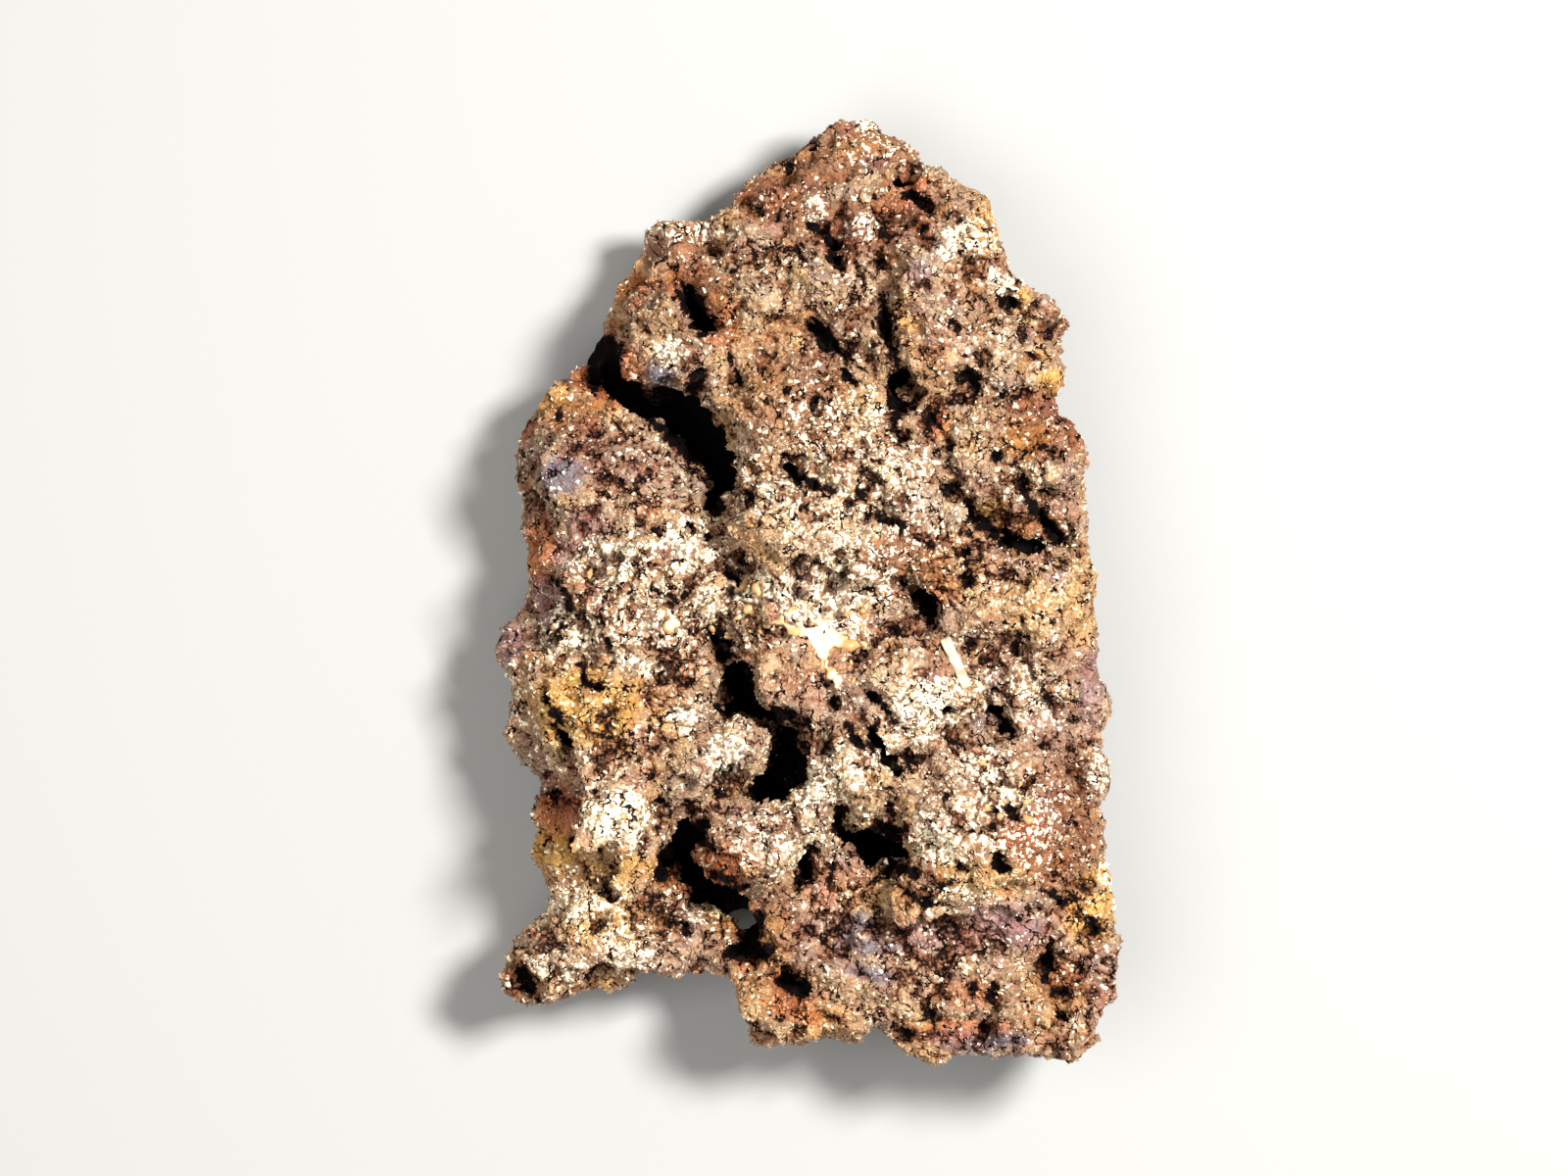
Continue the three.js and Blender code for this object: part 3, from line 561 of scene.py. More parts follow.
def crust_finish(colours):
    """The crust between its loose grains: sintered grains of its own, with dark joints and cracks."""
    paint = Paint("sintered_crust")
    here = paint.node("TexCoord").outputs["Object"]
    cells = {"Vector": here, "Scale": SINTERED_GRAINS, "Randomness": 1.0}
    grain = paint.node("TexVoronoi", {"feature": "F1"}, cells)
    own = paint.node("SeparateColor", None, {"Color": grain.outputs["Color"]})
    tint = Number(paint, own.outputs[0]) * 0.45 + paint.attribute("tone") * 0.55
    chance = Number(paint, own.outputs[1])
    away = Number(paint, grain.outputs["Distance"])
    soft = Number(paint, paint.noise_texture(here, HAIR_CRACKS, 4.0).outputs[0])
    sway = paint.noise_texture(here, CRACK_SWAY, 3.0).outputs["Color"]
    bent = paint.mix("VECTOR", 1.2 * MM, here, sway)
    clump = paint.node("TexVoronoi", {"feature": "DISTANCE_TO_EDGE"}, {"Vector": bent, "Scale": HAIR_CRACKS})
    crack = (1 - Number(paint, clump.outputs["Distance"]).between(0.02, 0.075)) * soft.between(0.42, 0.56)
    pale = paint.attribute("pale")
    # Cream: pale sugary grains of the pale patches, whose bright specks also stand in as painted glints, and
    # a few everywhere as painted glints
    cream = (chance < pale * 0.9 + 0.03) * 0.85
    joint = away.between(0.3, 0.66) * (0.25 - 0.2 * pale)
    # Painted shade of creases and pits from the crust's attribute, with the dark joints, hair cracks and a
    # soft cloud added to it
    painted_shade_and_cracks = (paint.attribute("painted_shade_and_cracks") + joint + (soft - 0.5) * 0.3 + crack).clamped()
    relief = Number(paint, paint.noise_texture(here, FINE_RELIEF, 3.0).outputs[0]) * 0.3 - away - crack
    bump = paint.node("Bump", None, {"Strength": 0.8, "Distance": 0.1 * MM, "Height": relief})
    return paint.finish(
        Base_Color=tarnished(paint, colours, tint, cream, painted_shade_and_cracks),
        Roughness=(0.75 - 0.25 * tint + 0.2 * painted_shade_and_cracks).clamped(),
        Metallic=0.2 * tint,
        Specular_IOR_Level=0.1,
        Normal=bump.outputs[0],
    )


def grain_finish(colours):
    """Loose grains, each of one tone, with glinting flat faces, darkened by the painted shade of the crust
    under them.
    """
    paint = Paint("grains")
    tint = paint.attribute("tint")
    cream = paint.attribute("cream")
    # The painted shade of the crust under each grain
    painted_shade_and_cracks = paint.attribute("painted_shade_and_cracks")
    return paint.finish(
        Base_Color=tarnished(paint, colours, tint, cream, painted_shade_and_cracks * 0.85),
        Roughness=0.55 - 0.22 * tint,
        Metallic=0.3 - 0.3 * cream,
    )


def sinter_finish(colours):
    """Smooth cream sinter that lets a little light through, with a painted glow: emission and a brighter
    middle that stand in for light shining through the pocket.
    """
    paint = Paint("cream_sinter")
    here = paint.node("TexCoord").outputs["Object"]
    cloud = Number(paint, paint.noise_texture(here, SINTER_CLOUDS, 3.0).outputs[0])
    # Painted glow: brightest in the middle of the pocket, it lightens the colour and gives off light, though
    # the lining is no lamp
    glow = (paint.attribute("glow") + (cloud - 0.5) * 0.5).clamped()
    return paint.finish(
        Base_Color=paint.blend(glow, colours.sinter_edge, colours.sinter),
        Roughness=0.35,
        Subsurface_Weight=0.3,
        Subsurface_Scale=1 * MM,
        Emission_Color=paint.blend(glow, colours.glow_edge, colours.glow),
        Emission_Strength=0.45,
    )


def lath_finish(colours):
    """A pale, faintly streaked crystal."""
    paint = Paint("pale_lath")
    here = paint.node("TexCoord").outputs["Object"]
    streaks = Number(paint, paint.noise_texture(here, LATH_STREAKS, 4.0).outputs[0])
    tone = paint.blend(streaks.between(0.35, 0.65), colours.lath, colours.lath_streak)
    bump = paint.node("Bump", None, {"Strength": 0.4, "Distance": 0.1 * MM, "Height": streaks})
    return paint.finish(Base_Color=tone, Roughness=0.35, Normal=bump.outputs[0])


def points_of(mesh):
    found = np.empty(len(mesh.vertices) * 3, np.float32)
    mesh.vertices.foreach_get("co", found)
    return found.reshape(-1, 3).astype(float)


def normals_of(mesh):
    found = np.empty(len(mesh.vertices) * 3, np.float32)
    mesh.vertex_normals.foreach_get("vector", found)
    return found.reshape(-1, 3).astype(float)


def move_points(mesh, points):
    mesh.vertices.foreach_set("co", points.astype(np.float32).ravel())
    mesh.update()


def smooth_step(values, low, high):
    t = np.clip((values - low) / (high - low), 0, 1)
    return t * t * (3 - 2 * t)


def wander(points, size, shift):
    """Smooth noise from about -1 to 1 at each point, whose lumps have this size."""
    return np.array([noise.noise(p) for p in (points / size + shift).tolist()])


def bends(points, size, shift):
    """Smooth noise at each point, as a vector. The seed is set, or each run would give other bends."""
    noise.seed_set(BEND_SEED)
    return np.array([noise.noise_vector(p) for p in (points / size + shift).tolist()])


def clumps(points, size, shift, line=CREASE_LINE):
    """At each point: how high it lies on its rounded clump, from 0 in a crease to 1; a random direction
    that is the clump's own; and how near the crease between two clumps is."""
    finer = 1.3
    bent = points / size + shift + 0.4 * bends(points, size / finer, finer * shift)
    found = [noise.voronoi(p) for p in bent.tolist()]
    near = np.array([distances[:2] for distances, _ in found])
    own = np.array([noise.cell_vector(centres[0] * 7) for _, centres in found])
    rise = 1 - np.clip(near[:, 0] / CLUMP_RADIUS, 0, 1) ** 2
    return rise, 2 * own - 1, 1 - smooth_step(near[:, 1] - near[:, 0], *line)


def patch_mask(points, patches, wobble):
    """The strongest of these patches at each point. The wobble makes their edges ragged."""
    mask = np.zeros(len(points))
    for middle, half, turn, strength in patches:
        away = points[:, :2] - np.array(spot(*middle))[:2]
        angle = math.radians(turn)
        u = (away[:, 0] * math.cos(angle) + away[:, 1] * math.sin(angle)) / (half[0] * PX)
        v = (away[:, 1] * math.cos(angle) - away[:, 0] * math.sin(angle)) / (half[1] * PX)
        reach = np.hypot(u, v) + wobble
        mask = np.maximum(mask, strength * (1 - smooth_step(reach, *PATCH_FADE)))
    return mask


def along_path(points, path):
    """Distance of each point, seen from above, from a line through pixels of the photograph."""
    corners = [np.array(spot(*corner))[:2] for corner in path]
    nearest = np.full(len(points), np.inf)
    for start, end in zip(corners, corners[1:] or corners):
        step = end - start
        reach = max(float(step @ step), 1e-12)
        t = np.clip((points[:, :2] - start) @ step / reach, 0, 1)
        nearest = np.minimum(nearest, np.linalg.norm(points[:, :2] - start - t[:, None] * step, axis=1))
    return nearest


def to_outline(points):
    """How far inside the silhouette each point lies, seen from above, and the nearest place on it."""
    flat = points[:, :2]
    corners = np.array([spot(*corner)[:2] for corner in OUTLINE])
    nearest = np.full(len(flat), np.inf)
    place = np.zeros_like(flat)
    inside = np.zeros(len(flat), bool)
    for start, end in zip(corners, np.roll(corners, -1, axis=0)):
        step = end - start
        t = np.clip((flat - start) @ step / (step @ step), 0, 1)
        found = start + t[:, None] * step
        away = np.linalg.norm(flat - found, axis=1)
        closer = away < nearest
        nearest[closer] = away[closer]
        place[closer] = found[closer]
        crosses = (start[1] > flat[:, 1]) != (end[1] > flat[:, 1])
        rise = step[1] if step[1] else 1
        inside ^= crosses & (flat[:, 0] < start[0] + (flat[:, 1] - start[1]) / rise * step[0])
    return np.where(inside, nearest, -nearest), place


def fit_outline(mesh, sizes):
    """Brings what reaches over the silhouette back to it, the rim out to it, and the highest clumps down."""
    points = points_of(mesh)
    before = points.copy()
    inside, place = to_outline(points)
    rim = sizes.rim_height + sizes.rim_rise_right * points[:, 0] - sizes.rim_drop_tip * points[:, 1]
    belt = 1 - smooth_step(np.abs(points[:, 2] - rim), *RIM_BELT)
    near = 1 - smooth_step(inside, *RIM_PULL)
    share = np.where(inside < 0, 1, belt * near)
    points[:, :2] += share[:, None] * (place - points[:, :2])
    over = np.maximum(points[:, 2] - (CAD_BOX[1][2] - sizes.top_room), 0)
    points[:, 2] -= TOP_SQUEEZE * over
    move_points(mesh, above_floor(points, before))


def applied(piece):
    """Gives the piece the mesh that its modifiers make."""
    made = bpy.data.meshes.new_from_object(piece.evaluated_get(bpy.context.evaluated_depsgraph_get()))
    piece.modifiers.clear()
    old = piece.data
    materials = list(old.materials)
    piece.data = made
    bpy.data.meshes.remove(old)
    made.name = piece.name
    made.materials.clear()
    for material in materials:
        made.materials.append(material)


def remeshed(piece, voxel, smooth=0):
    """Gives the piece a mesh of even squares of this size, a little smoothed."""
    remesh = piece.modifiers.new("even", "REMESH")
    remesh.mode = "VOXEL"
    remesh.voxel_size = voxel
    if smooth:
        softer = piece.modifiers.new("softer", "SMOOTH")
        softer.factor = 0.5
        softer.iterations = smooth
    applied(piece)


def thinned(piece, triangles):
    """Leaves about this many triangles, most of them where the surface is roughest."""
    piece.data.calc_loop_triangles()
    fewer = piece.modifiers.new("fewer", "DECIMATE")
    fewer.ratio = min(1, triangles / len(piece.data.loop_triangles))
    applied(piece)


def new_piece(name, mesh, material):
    piece = bpy.data.objects.new(name, mesh)
    bpy.context.scene.collection.objects.link(piece)
    mesh.materials.clear()
    mesh.materials.append(material)
    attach(piece, BODY)
    return piece


def merged_copy(node):
    """The mesh of a CAD node, with its doubles merged."""
    form = bmesh.new()
    form.from_mesh(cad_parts[node].data)
    bmesh.ops.remove_doubles(form, verts=form.verts, dist=MERGE_RANGE)
    mesh = bpy.data.meshes.new("crust")
    form.to_mesh(mesh)
    form.free()
    return mesh


def above_floor(points, before):
    """Keeps the flat underside flat, and everything above it."""
    flat = before[:, 2] < FLAT_RANGE
    points[flat, 2] = before[flat, 2]
    points[:, 2] = np.maximum(points[:, 2], 0)
    return points


def make_ragged(mesh, size, reach, shift):
    """Shoves the surface about, so that no edge of a hollow keeps a smooth line."""
    points = points_of(mesh)
    move_points(mesh, above_floor(points + reach * bends(points, size, shift), points))


def raise_clumps(mesh, size, height, shift, step=0, crack_depth=0):
    """Moves the surface in and out, so that it has rounded clumps with creases, and cracks in some places.
    Each clump is also shoved a step its own way, which leaves the surface craggy."""
    before = points_of(mesh)
    normals = normals_of(mesh)
    rise, own, crease = clumps(before, size, shift)
    calm = patch_mask(before, CALM, 0)
    up = smooth_step(normals[:, 2], 0, 0.7) * (before[:, 2] > FACE_FOOT)
    back = 1 - smooth_step(before[:, 2], *BACK_FADE)
    uneven = 0.75 + 0.45 * wander(before, 3 * size, shift + SHIFTS["height"])
    strength = uneven * (1 - calm) * (1 - 0.6 * back)
    zone = smooth_step(wander(before, 6 * MM, shift + SHIFTS["cracks"]), -0.2, 0.25)
    out = height * (rise - CLUMP_LEVEL) - crack_depth * crease * zone * (0.5 + 0.5 * up)
    points = before + (normals * out[:, None] + step * own) * strength[:, None]
    move_points(mesh, above_floor(points, before))


def crevice_depth(points, start, end):
    """How deep a crevice or pit lies at each point: its full depth as far as the start, and nothing past
    the end, both as shares of its half width."""
    ragged = 1 + 0.45 * wander(points, 0.8 * MM, SHIFTS["crevice width"])
    wide = 0.5 * MM * bends(points, 1.4 * MM, SHIFTS["crevice bends"])
    fine = 0.25 * MM * bends(points, 0.6 * MM, SHIFTS["fine crevice bends"])
    points = points + wide + fine
    sunk = np.zeros(len(points))
    pits = [((middle,), half, depth) for middle, half, depth in PITS]
    for path, half, depth in CREVICES + pits:
        inside = 1 - smooth_step(along_path(points, path) / (half * PX * ragged), start, end)
        sunk = np.maximum(sunk, inside * depth * MM)
    return sunk


def cut_crevices(mesh):
    """Sinks the small crevices and pits into the face."""
    points = points_of(mesh)
    before = points.copy()
    facing = smooth_step(normals_of(mesh)[:, 2], -0.1, 0.35) * (points[:, 2] > CREVICE_FOOT)
    points[:, 2] -= crevice_depth(points, *CREVICE_WALL) * facing
    move_points(mesh, above_floor(points, before))


def sunkenness(piece, passes, full):
    """How far each point lies under a smoothed copy of the surface: 1 at the full depth or more."""
    softer = piece.modifiers.new("softer", "SMOOTH")
    softer.factor = 0.5
    softer.iterations = passes
    smooth = bpy.data.meshes.new_from_object(piece.evaluated_get(bpy.context.evaluated_depsgraph_get()))
    piece.modifiers.clear()
    under = ((points_of(smooth) - points_of(piece.data)) * normals_of(smooth)).sum(axis=1)
    bpy.data.meshes.remove(smooth)
    return np.clip(under / full, -1, 1)


def under_rim(points, cell, passes):
    """How far each point lies under the mean top of the crust around it, seen from above."""
    margin = 10
    column = ((points[:, :2] - points[:, :2].min(axis=0)) / cell).astype(int) + margin
    top = np.zeros(column.max(axis=0) + margin)
    np.maximum.at(top, (column[:, 0], column[:, 1]), points[:, 2])
    share = (top > 0).astype(float)
    for _ in range(passes):
        for axis in (0, 1):
            top = 0.5 * top + 0.25 * (np.roll(top, 1, axis) + np.roll(top, -1, axis))
            share = 0.5 * share + 0.25 * (np.roll(share, 1, axis) + np.roll(share, -1, axis))
    mean = top / np.maximum(share, 1e-9)
    return mean[column[:, 0], column[:, 1]] - points[:, 2]


def tarnish_masks(points):
    """The strength of each kind of colour at each point: the patches of the face, and clouds elsewhere."""
    wobble = 0.35 * wander(points, 0.9 * MM, SHIFTS["patch edges"])
    wobble += 0.2 * wander(points, 2.5 * MM, SHIFTS["coarse patch edges"])
    side = 1 - smooth_step(points[:, 2], *SIDE_FADE)
    masks = {}
    for number, kind in enumerate(KINDS):
        shift = SHIFTS["next kind"] * number
        cloud = 0.6 * smooth_step(wander(points, 5 * MM, SHIFTS["clouds"] + shift), 0.12, 0.5)
        speckle = 0.35 * smooth_step(wander(points, 1.4 * MM, SHIFTS["speckles"] + shift), 0.25, 0.6)
        spread = np.maximum(cloud * (0.35 + 0.65 * side), speckle)
        if kind == "pale":
            spread *= 0.5
        masks[kind] = np.maximum(patch_mask(points, PATCHES[kind], wobble), spread)
    return masks


def value_of(mesh, name):
    found = np.empty(len(mesh.vertices), np.float32)
    mesh.attributes[name].data.foreach_get("value", found)
    return found.astype(float)


def set_values(mesh, values):
    for name, array in values.items():
        made = mesh.attributes.new(name, "FLOAT", "POINT")
        made.data.foreach_set("value", array.astype(np.float32))


def grain_shapes(count, rng):
    """Small angular grains about 1 across, as (points, triangles)."""
    shapes = []
    for number in range(count):
        form = bmesh.new()
        if number % 4 == 0:
            bmesh.ops.create_cube(form, size=0.8)
        elif number % 4 == 1:
            bmesh.ops.create_cone(form, cap_ends=True, segments=3, radius1=0.6, radius2=0.35, depth=0.7)
        else:
            bmesh.ops.create_uvsphere(form, u_segments=4, v_segments=2, radius=0.58)
        bmesh.ops.triangulate(form, faces=form.faces)
        corners = np.array([vert.co for vert in form.verts])
        corners *= 1 + rng.uniform(-0.25, 0.25, (len(corners), 1))
        corners += rng.uniform(-0.1, 0.1, corners.shape)
        corners *= rng.choice([1, 1, 0.55], 3)
        triangles = np.array([[vert.index for vert in face.verts] for face in form.faces])
        form.free()
        shapes.append((corners, triangles))
    return shapes


def turns(count, rng):
    """Evenly spread random rotations, as matrices."""
    w, x, y, z = rng.normal(size=(4, count))
    size = np.sqrt(w * w + x * x + y * y + z * z)
    w, x, y, z = w / size, x / size, y / size, z / size
    rows = [
        [1 - 2 * (y * y + z * z), 2 * (x * y - z * w), 2 * (x * z + y * w)],
        [2 * (x * y + z * w), 1 - 2 * (x * x + z * z), 2 * (y * z - x * w)],
        [2 * (x * z - y * w), 2 * (y * z + x * w), 1 - 2 * (x * x + y * y)],
    ]
    return np.moveaxis(np.array(rows), 2, 0)


def sow(mesh, count, chance, rng):
    """Random places on a mesh, by the chance at its points: the places, the normals, and a way to read
    values there."""
    mesh.calc_loop_triangles()
    corners = np.empty(len(mesh.loop_triangles) * 3, np.int32)
    mesh.loop_triangles.foreach_get("vertices", corners)
    corners = corners.reshape(-1, 3)
    points = points_of(mesh)
    first, second, third = (points[corners[:, i]] for i in range(3))
    across = np.cross(second - first, third - first)
    area = np.linalg.norm(across, axis=1)
    normal = across / np.maximum(area, 1e-18)[:, None]
    wanted = area * chance[corners].mean(axis=1)
    chosen = rng.choice(len(area), count, p=wanted / wanted.sum())
    u, v = rng.random((2, count))
    over = u + v > 1
    u[over], v[over] = 1 - u[over], 1 - v[over]
    shares = np.stack([1 - u - v, u, v], 1)
    whose = corners[chosen]

    def read(values):
        return (values[whose] * (shares if values.ndim == 1 else shares[:, :, None])).sum(axis=1)

    return read(points), normal[chosen], read


def joined(name, shapes, kinds, places, sizes, rotations):
    """One mesh of many grains, with a map that gives each grain a cell of its own."""
    points, triangles, cells = [], [], []
    start = 0
    wide = math.ceil(math.sqrt(len(places)))
    order = []
    for number, (corners, faces) in enumerate(shapes):
        who = np.flatnonzero(kinds == number)
        placed = np.einsum("nij,kj->nki", rotations[who], corners) * sizes[who, None, None]
        placed += places[who, None, :]
        points.append(placed.reshape(-1, 3))
        steps = start + len(corners) * np.arange(len(who))
        triangles.append((faces[None] + steps[:, None, None]).reshape(-1, 3))
        cells.append(np.repeat(who, len(faces)))
        order.append(np.repeat(who, len(corners)))
        start += len(corners) * len(who)
    points, triangles, cells = np.concatenate(points), np.concatenate(triangles), np.concatenate(cells)
    mesh = bpy.data.meshes.new(name)
    mesh.vertices.add(len(points))
    mesh.vertices.foreach_set("co", points.astype(np.float32).ravel())
    mesh.loops.add(triangles.size)
    mesh.loops.foreach_set("vertex_index", triangles.astype(np.int32).ravel())
    mesh.polygons.add(len(triangles))
    mesh.polygons.foreach_set("loop_start", np.arange(0, triangles.size, 3, dtype=np.int32))
    cell = np.stack([cells % wide, cells // wide], 1)
    places_on_map = (cell[:, None, :] + np.array(MAP_CORNERS)[None]) / wide
    layer = mesh.uv_layers.new(name="OFBake")
    layer.uv.foreach_set("vector", places_on_map.astype(np.float32).ravel())
    mesh.update(calc_edges=True)
    mesh.shade_flat()
    return mesh, np.concatenate(order)


def height_at(tree, x_px, y_px):
    """The top of the crust over a pixel of the photograph."""
    above = spot(x_px, y_px) + Vector((0, 0, 0.1))
    hit = tree.ray_cast(above, Vector((0, 0, -1)))[0]
    if hit is None:
        raise RuntimeError(f"the crust has nothing under pixel {x_px}, {y_px}")
    return hit


def crust_tree():
    mesh = bpy.data.objects["crust"].data
    return BVHTree.FromPolygons([v.co for v in mesh.vertices], [p.vertices for p in mesh.polygons])


def shape_crust(crust, sizes):
    """Makes the crust ragged, raises its clumps and cuts its crevices, on a finer mesh at the end."""
    remeshed(crust, sizes.first_voxel, smooth=4)
    mesh = crust.data
    make_ragged(mesh, sizes.ragged_size, sizes.ragged_reach, SHIFTS["ragged"])
    make_ragged(mesh, 0.5 * sizes.ragged_size, 0.4 * sizes.ragged_reach, SHIFTS["finely ragged"])
    large, middle, small = (SHIFTS[f"{name} clumps"] for name in ("large", "middle", "small"))
    cracks = sizes.crack_depth
    raise_clumps(mesh, sizes.large_clump, sizes.large_height, large, sizes.step, cracks)
    raise_clumps(mesh, sizes.middle_clump, sizes.middle_height, middle, sizes.step, 0.6 * cracks)
    fit_outline(mesh, sizes)
    cut_crevices(mesh)
    remeshed(crust, sizes.last_voxel)
    raise_clumps(crust.data, sizes.small_clump, sizes.small_height, small, 0.3 * sizes.step)
    thinned(crust, sizes.triangles)


def painted_shade(crust, sizes):
    """The painted shade of the crust at each point: in hollows, in creases, in the great pits and in
    crevices.
    """
    points = points_of(crust.data)
    fine = np.maximum(sunkenness(crust, 8, 0.25 * MM), 0)
    wide = np.maximum(sunkenness(crust, 80, 0.9 * MM), 0)
    # Where the creases between clumps get painted shade
    zone = smooth_step(wander(points, 5 * MM, SHIFTS["crease shade"]), -0.15, 0.2)
    large = clumps(points, sizes.large_clump, SHIFTS["large clumps"], SHADE_LINE)[2]
    middle = clumps(points, sizes.middle_clump, SHIFTS["middle clumps"], SHADE_LINE)[2]
    relief = 0.5 * fine + 0.7 * wide + 0.7 * zone * np.maximum(large, middle)
    relief *= 1 - 0.8 * patch_mask(points, CALM, 0)
    inside = smooth_step(to_outline(points)[0], 1.2 * MM, 2.6 * MM)
    under = smooth_step(under_rim(points, 0.5 * MM, 60), sizes.pit_depth, 2 * sizes.pit_depth)
    pit = 0.9 * under * inside * (normals_of(crust.data)[:, 2] > -0.3)
    crevice = 0.95 * smooth_step(crevice_depth(points, *CREVICE_SHADE), 0.4 * MM, 1.6 * MM)
    return np.clip(np.clip(relief, 0, sizes.crease_shade) + pit + crevice, 0, 1)


def clump_tones(points, sizes):
    """A tone for each middle and each small clump, from 0 to 1, and the mean of both at each point."""
    middle = clumps(points, sizes.middle_clump, SHIFTS["middle clumps"])[1][:, 0]
    small = clumps(points, sizes.small_clump, SHIFTS["small clumps"])[1][:, 0]
    return 0.5 + 0.25 * (middle + small)


class SPECIMEN_OT_crust(bpy.types.Operator):
    """Make the crust: clumps, cracks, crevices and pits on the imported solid"""

    bl_idname = "specimen.crust"
    bl_label = "Crust"

    def execute(self, context):
        sizes = context.scene.specimen_crust
        crust = new_piece("crust", merged_copy(NODE), crust_finish(context.scene.specimen_colours))
        shape_crust(crust, sizes)
        points = points_of(crust.data)
        # Painted shade in hollows, creases, great pits and crevices
        painted_shade_and_cracks = painted_shade(crust, sizes)
        tone = clump_tones(points, sizes)
        set_values(crust.data, {**tarnish_masks(points), "painted_shade_and_cracks": painted_shade_and_cracks, "tone": tone})
        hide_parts(NODE)
        return {"FINISHED"}


def grain_chance(mesh, painted_shade_and_cracks):
    """How likely a grain is at each point: less where the crust is painted dark as shade and on the
    underside, and none on bare places.
    """
    points = points_of(mesh)
    up = smooth_step(normals_of(mesh)[:, 2], -0.4, 0.5)
    bare = np.maximum(0.75 * patch_mask(points, CALM, 0), patch_mask(points, BARE, 0))
    return (0.3 + 0.7 * up) * (points[:, 2] > 0.3 * MM) * (1 - 0.95 * painted_shade_and_cracks) ** 2 * (1 - bare)


class SPECIMEN_OT_grains(bpy.types.Operator):
    """Sow the sugary grains over the crust"""

    bl_idname = "specimen.grains"
    bl_label = "Grains"

    def execute(self, context):
        grains = context.scene.specimen_grains
        count = grains.count
        rng = np.random.default_rng(GRAIN_SEED)
        mesh = bpy.data.objects["crust"].data
        shapes = grain_shapes(grains.shapes, rng)
        # The crust's painted shade, where fewer grains lie and those that do are darkened
        painted_shade_and_cracks = value_of(mesh, "painted_shade_and_cracks")
        places, normals, read = sow(mesh, count, grain_chance(mesh, painted_shade_and_cracks), rng)
        coarse = 0.8 + 0.5 * wander(places, 4 * MM, SHIFTS["coarse grains"])
        sizes = grains.least + (grains.most - grains.least) * rng.random(count) ** 4 * coarse
        places = places + normals * (sizes * rng.uniform(-0.15, 0.25, count))[:, None]
        places[:, 2] = np.maximum(places[:, 2], sizes)
        values = {kind: read(value_of(mesh, kind)) for kind in KINDS}
        tint = 0.5 * rng.random(count) + 0.5 * read(value_of(mesh, "tone"))
        # Cream grains: pale sugary matter of the pale patches, whose bright specks also stand in as painted
        # glints, and a few everywhere as painted glints
        lumpy = 0.25 + 1.5 * smooth_step(wander(places, 0.7 * MM, SHIFTS["cream grains"]), -0.2, 0.35)
        cream = rng.random(count) < 0.02 + 0.6 * values.pop("pale") * lumpy
        values |= {"tint": tint, "cream": cream * rng.uniform(0.4, 1, count), "painted_shade_and_cracks": read(painted_shade_and_cracks)}
        kinds = rng.integers(0, grains.shapes, count)
        rotations = turns(count, rng)
        material = grain_finish(context.scene.specimen_colours)
        for number, start in enumerate(range(0, count, grains.share), 1):
            part = slice(start, min(start + grains.share, count))
            name = f"grains_{number}"
            made, order = joined(name, shapes, kinds[part], places[part], sizes[part], rotations[part])
            set_values(made, {key: value[part][order] for key, value in values.items()})
            new_piece(name, made, material)
        return {"FINISHED"}


def add_blob(form, tree, x_px, y_px, radius, squash, turn=0, lift=0):
    """Adds a flattened ball to the bmesh, on the crust over a pixel of the photograph."""
    verts = bmesh.ops.create_icosphere(form, subdivisions=2, radius=radius)["verts"]
    bmesh.ops.scale(form, verts=verts, vec=squash)
    bmesh.ops.transform(form, matrix=Matrix.Rotation(turn, 4, "Z"), verts=verts)
    place = height_at(tree, x_px, y_px) + Vector((0, 0, lift))
    bmesh.ops.translate(form, verts=verts, vec=place)


class SPECIMEN_OT_sinter(bpy.types.Operator):
    """Line the bright pocket with smooth cream sinter"""

    bl_idname = "specimen.sinter"
    bl_label = "Cream sinter"

    def execute(self, context):
        tree = crust_tree()
        form = bmesh.new()
        steps = 6
        for path, half in SINTER_ARMS:
            for t in (step / steps for step in range(steps + 1)):
                x, y = (a + t * (b - a) for a, b in zip(*path))
                radius = (half[0] + t * (half[1] - half[0])) * PX
                add_blob(form, tree, x, y, radius, (1, 1, 0.6), lift=0.15 * radius)
        rng = np.random.default_rng(FLAKE_SEED)
        for middle, half, count in SINTER_FLAKES:
            for _ in range(count):
                x, y = np.array(middle) + np.array(half) * np.clip(rng.normal(0, 0.6, 2), -1, 1)
                radius = rng.uniform(3, 7) * PX
                squash = (1, rng.uniform(0.45, 0.9), 0.45)
                add_blob(form, tree, x, y, radius, squash, turn=rng.uniform(0, math.pi))
        mesh = bpy.data.meshes.new("cream_sinter")
        form.to_mesh(mesh)
        form.free()
        piece = new_piece("cream_sinter", mesh, sinter_finish(context.scene.specimen_colours))
        remeshed(piece, 0.16 * MM, smooth=6)
        mesh = piece.data
        points = points_of(mesh)
        bulge = 0.35 * MM * wander(points, 0.9 * MM, SHIFTS["sinter"])
        bulge += 0.2 * MM * wander(points, 0.4 * MM, SHIFTS["fine sinter"])
        points += normals_of(mesh) * bulge[:, None]
        move_points(mesh, points)
        # Where the lining is painted to glow
        wobble = 0.2 * wander(points, 1.5 * MM, SHIFTS["glow"])
        set_values(mesh, {"glow": patch_mask(points, PAINTED_GLOW, wobble)})
        mesh.shade_smooth()
        return {"FINISHED"}


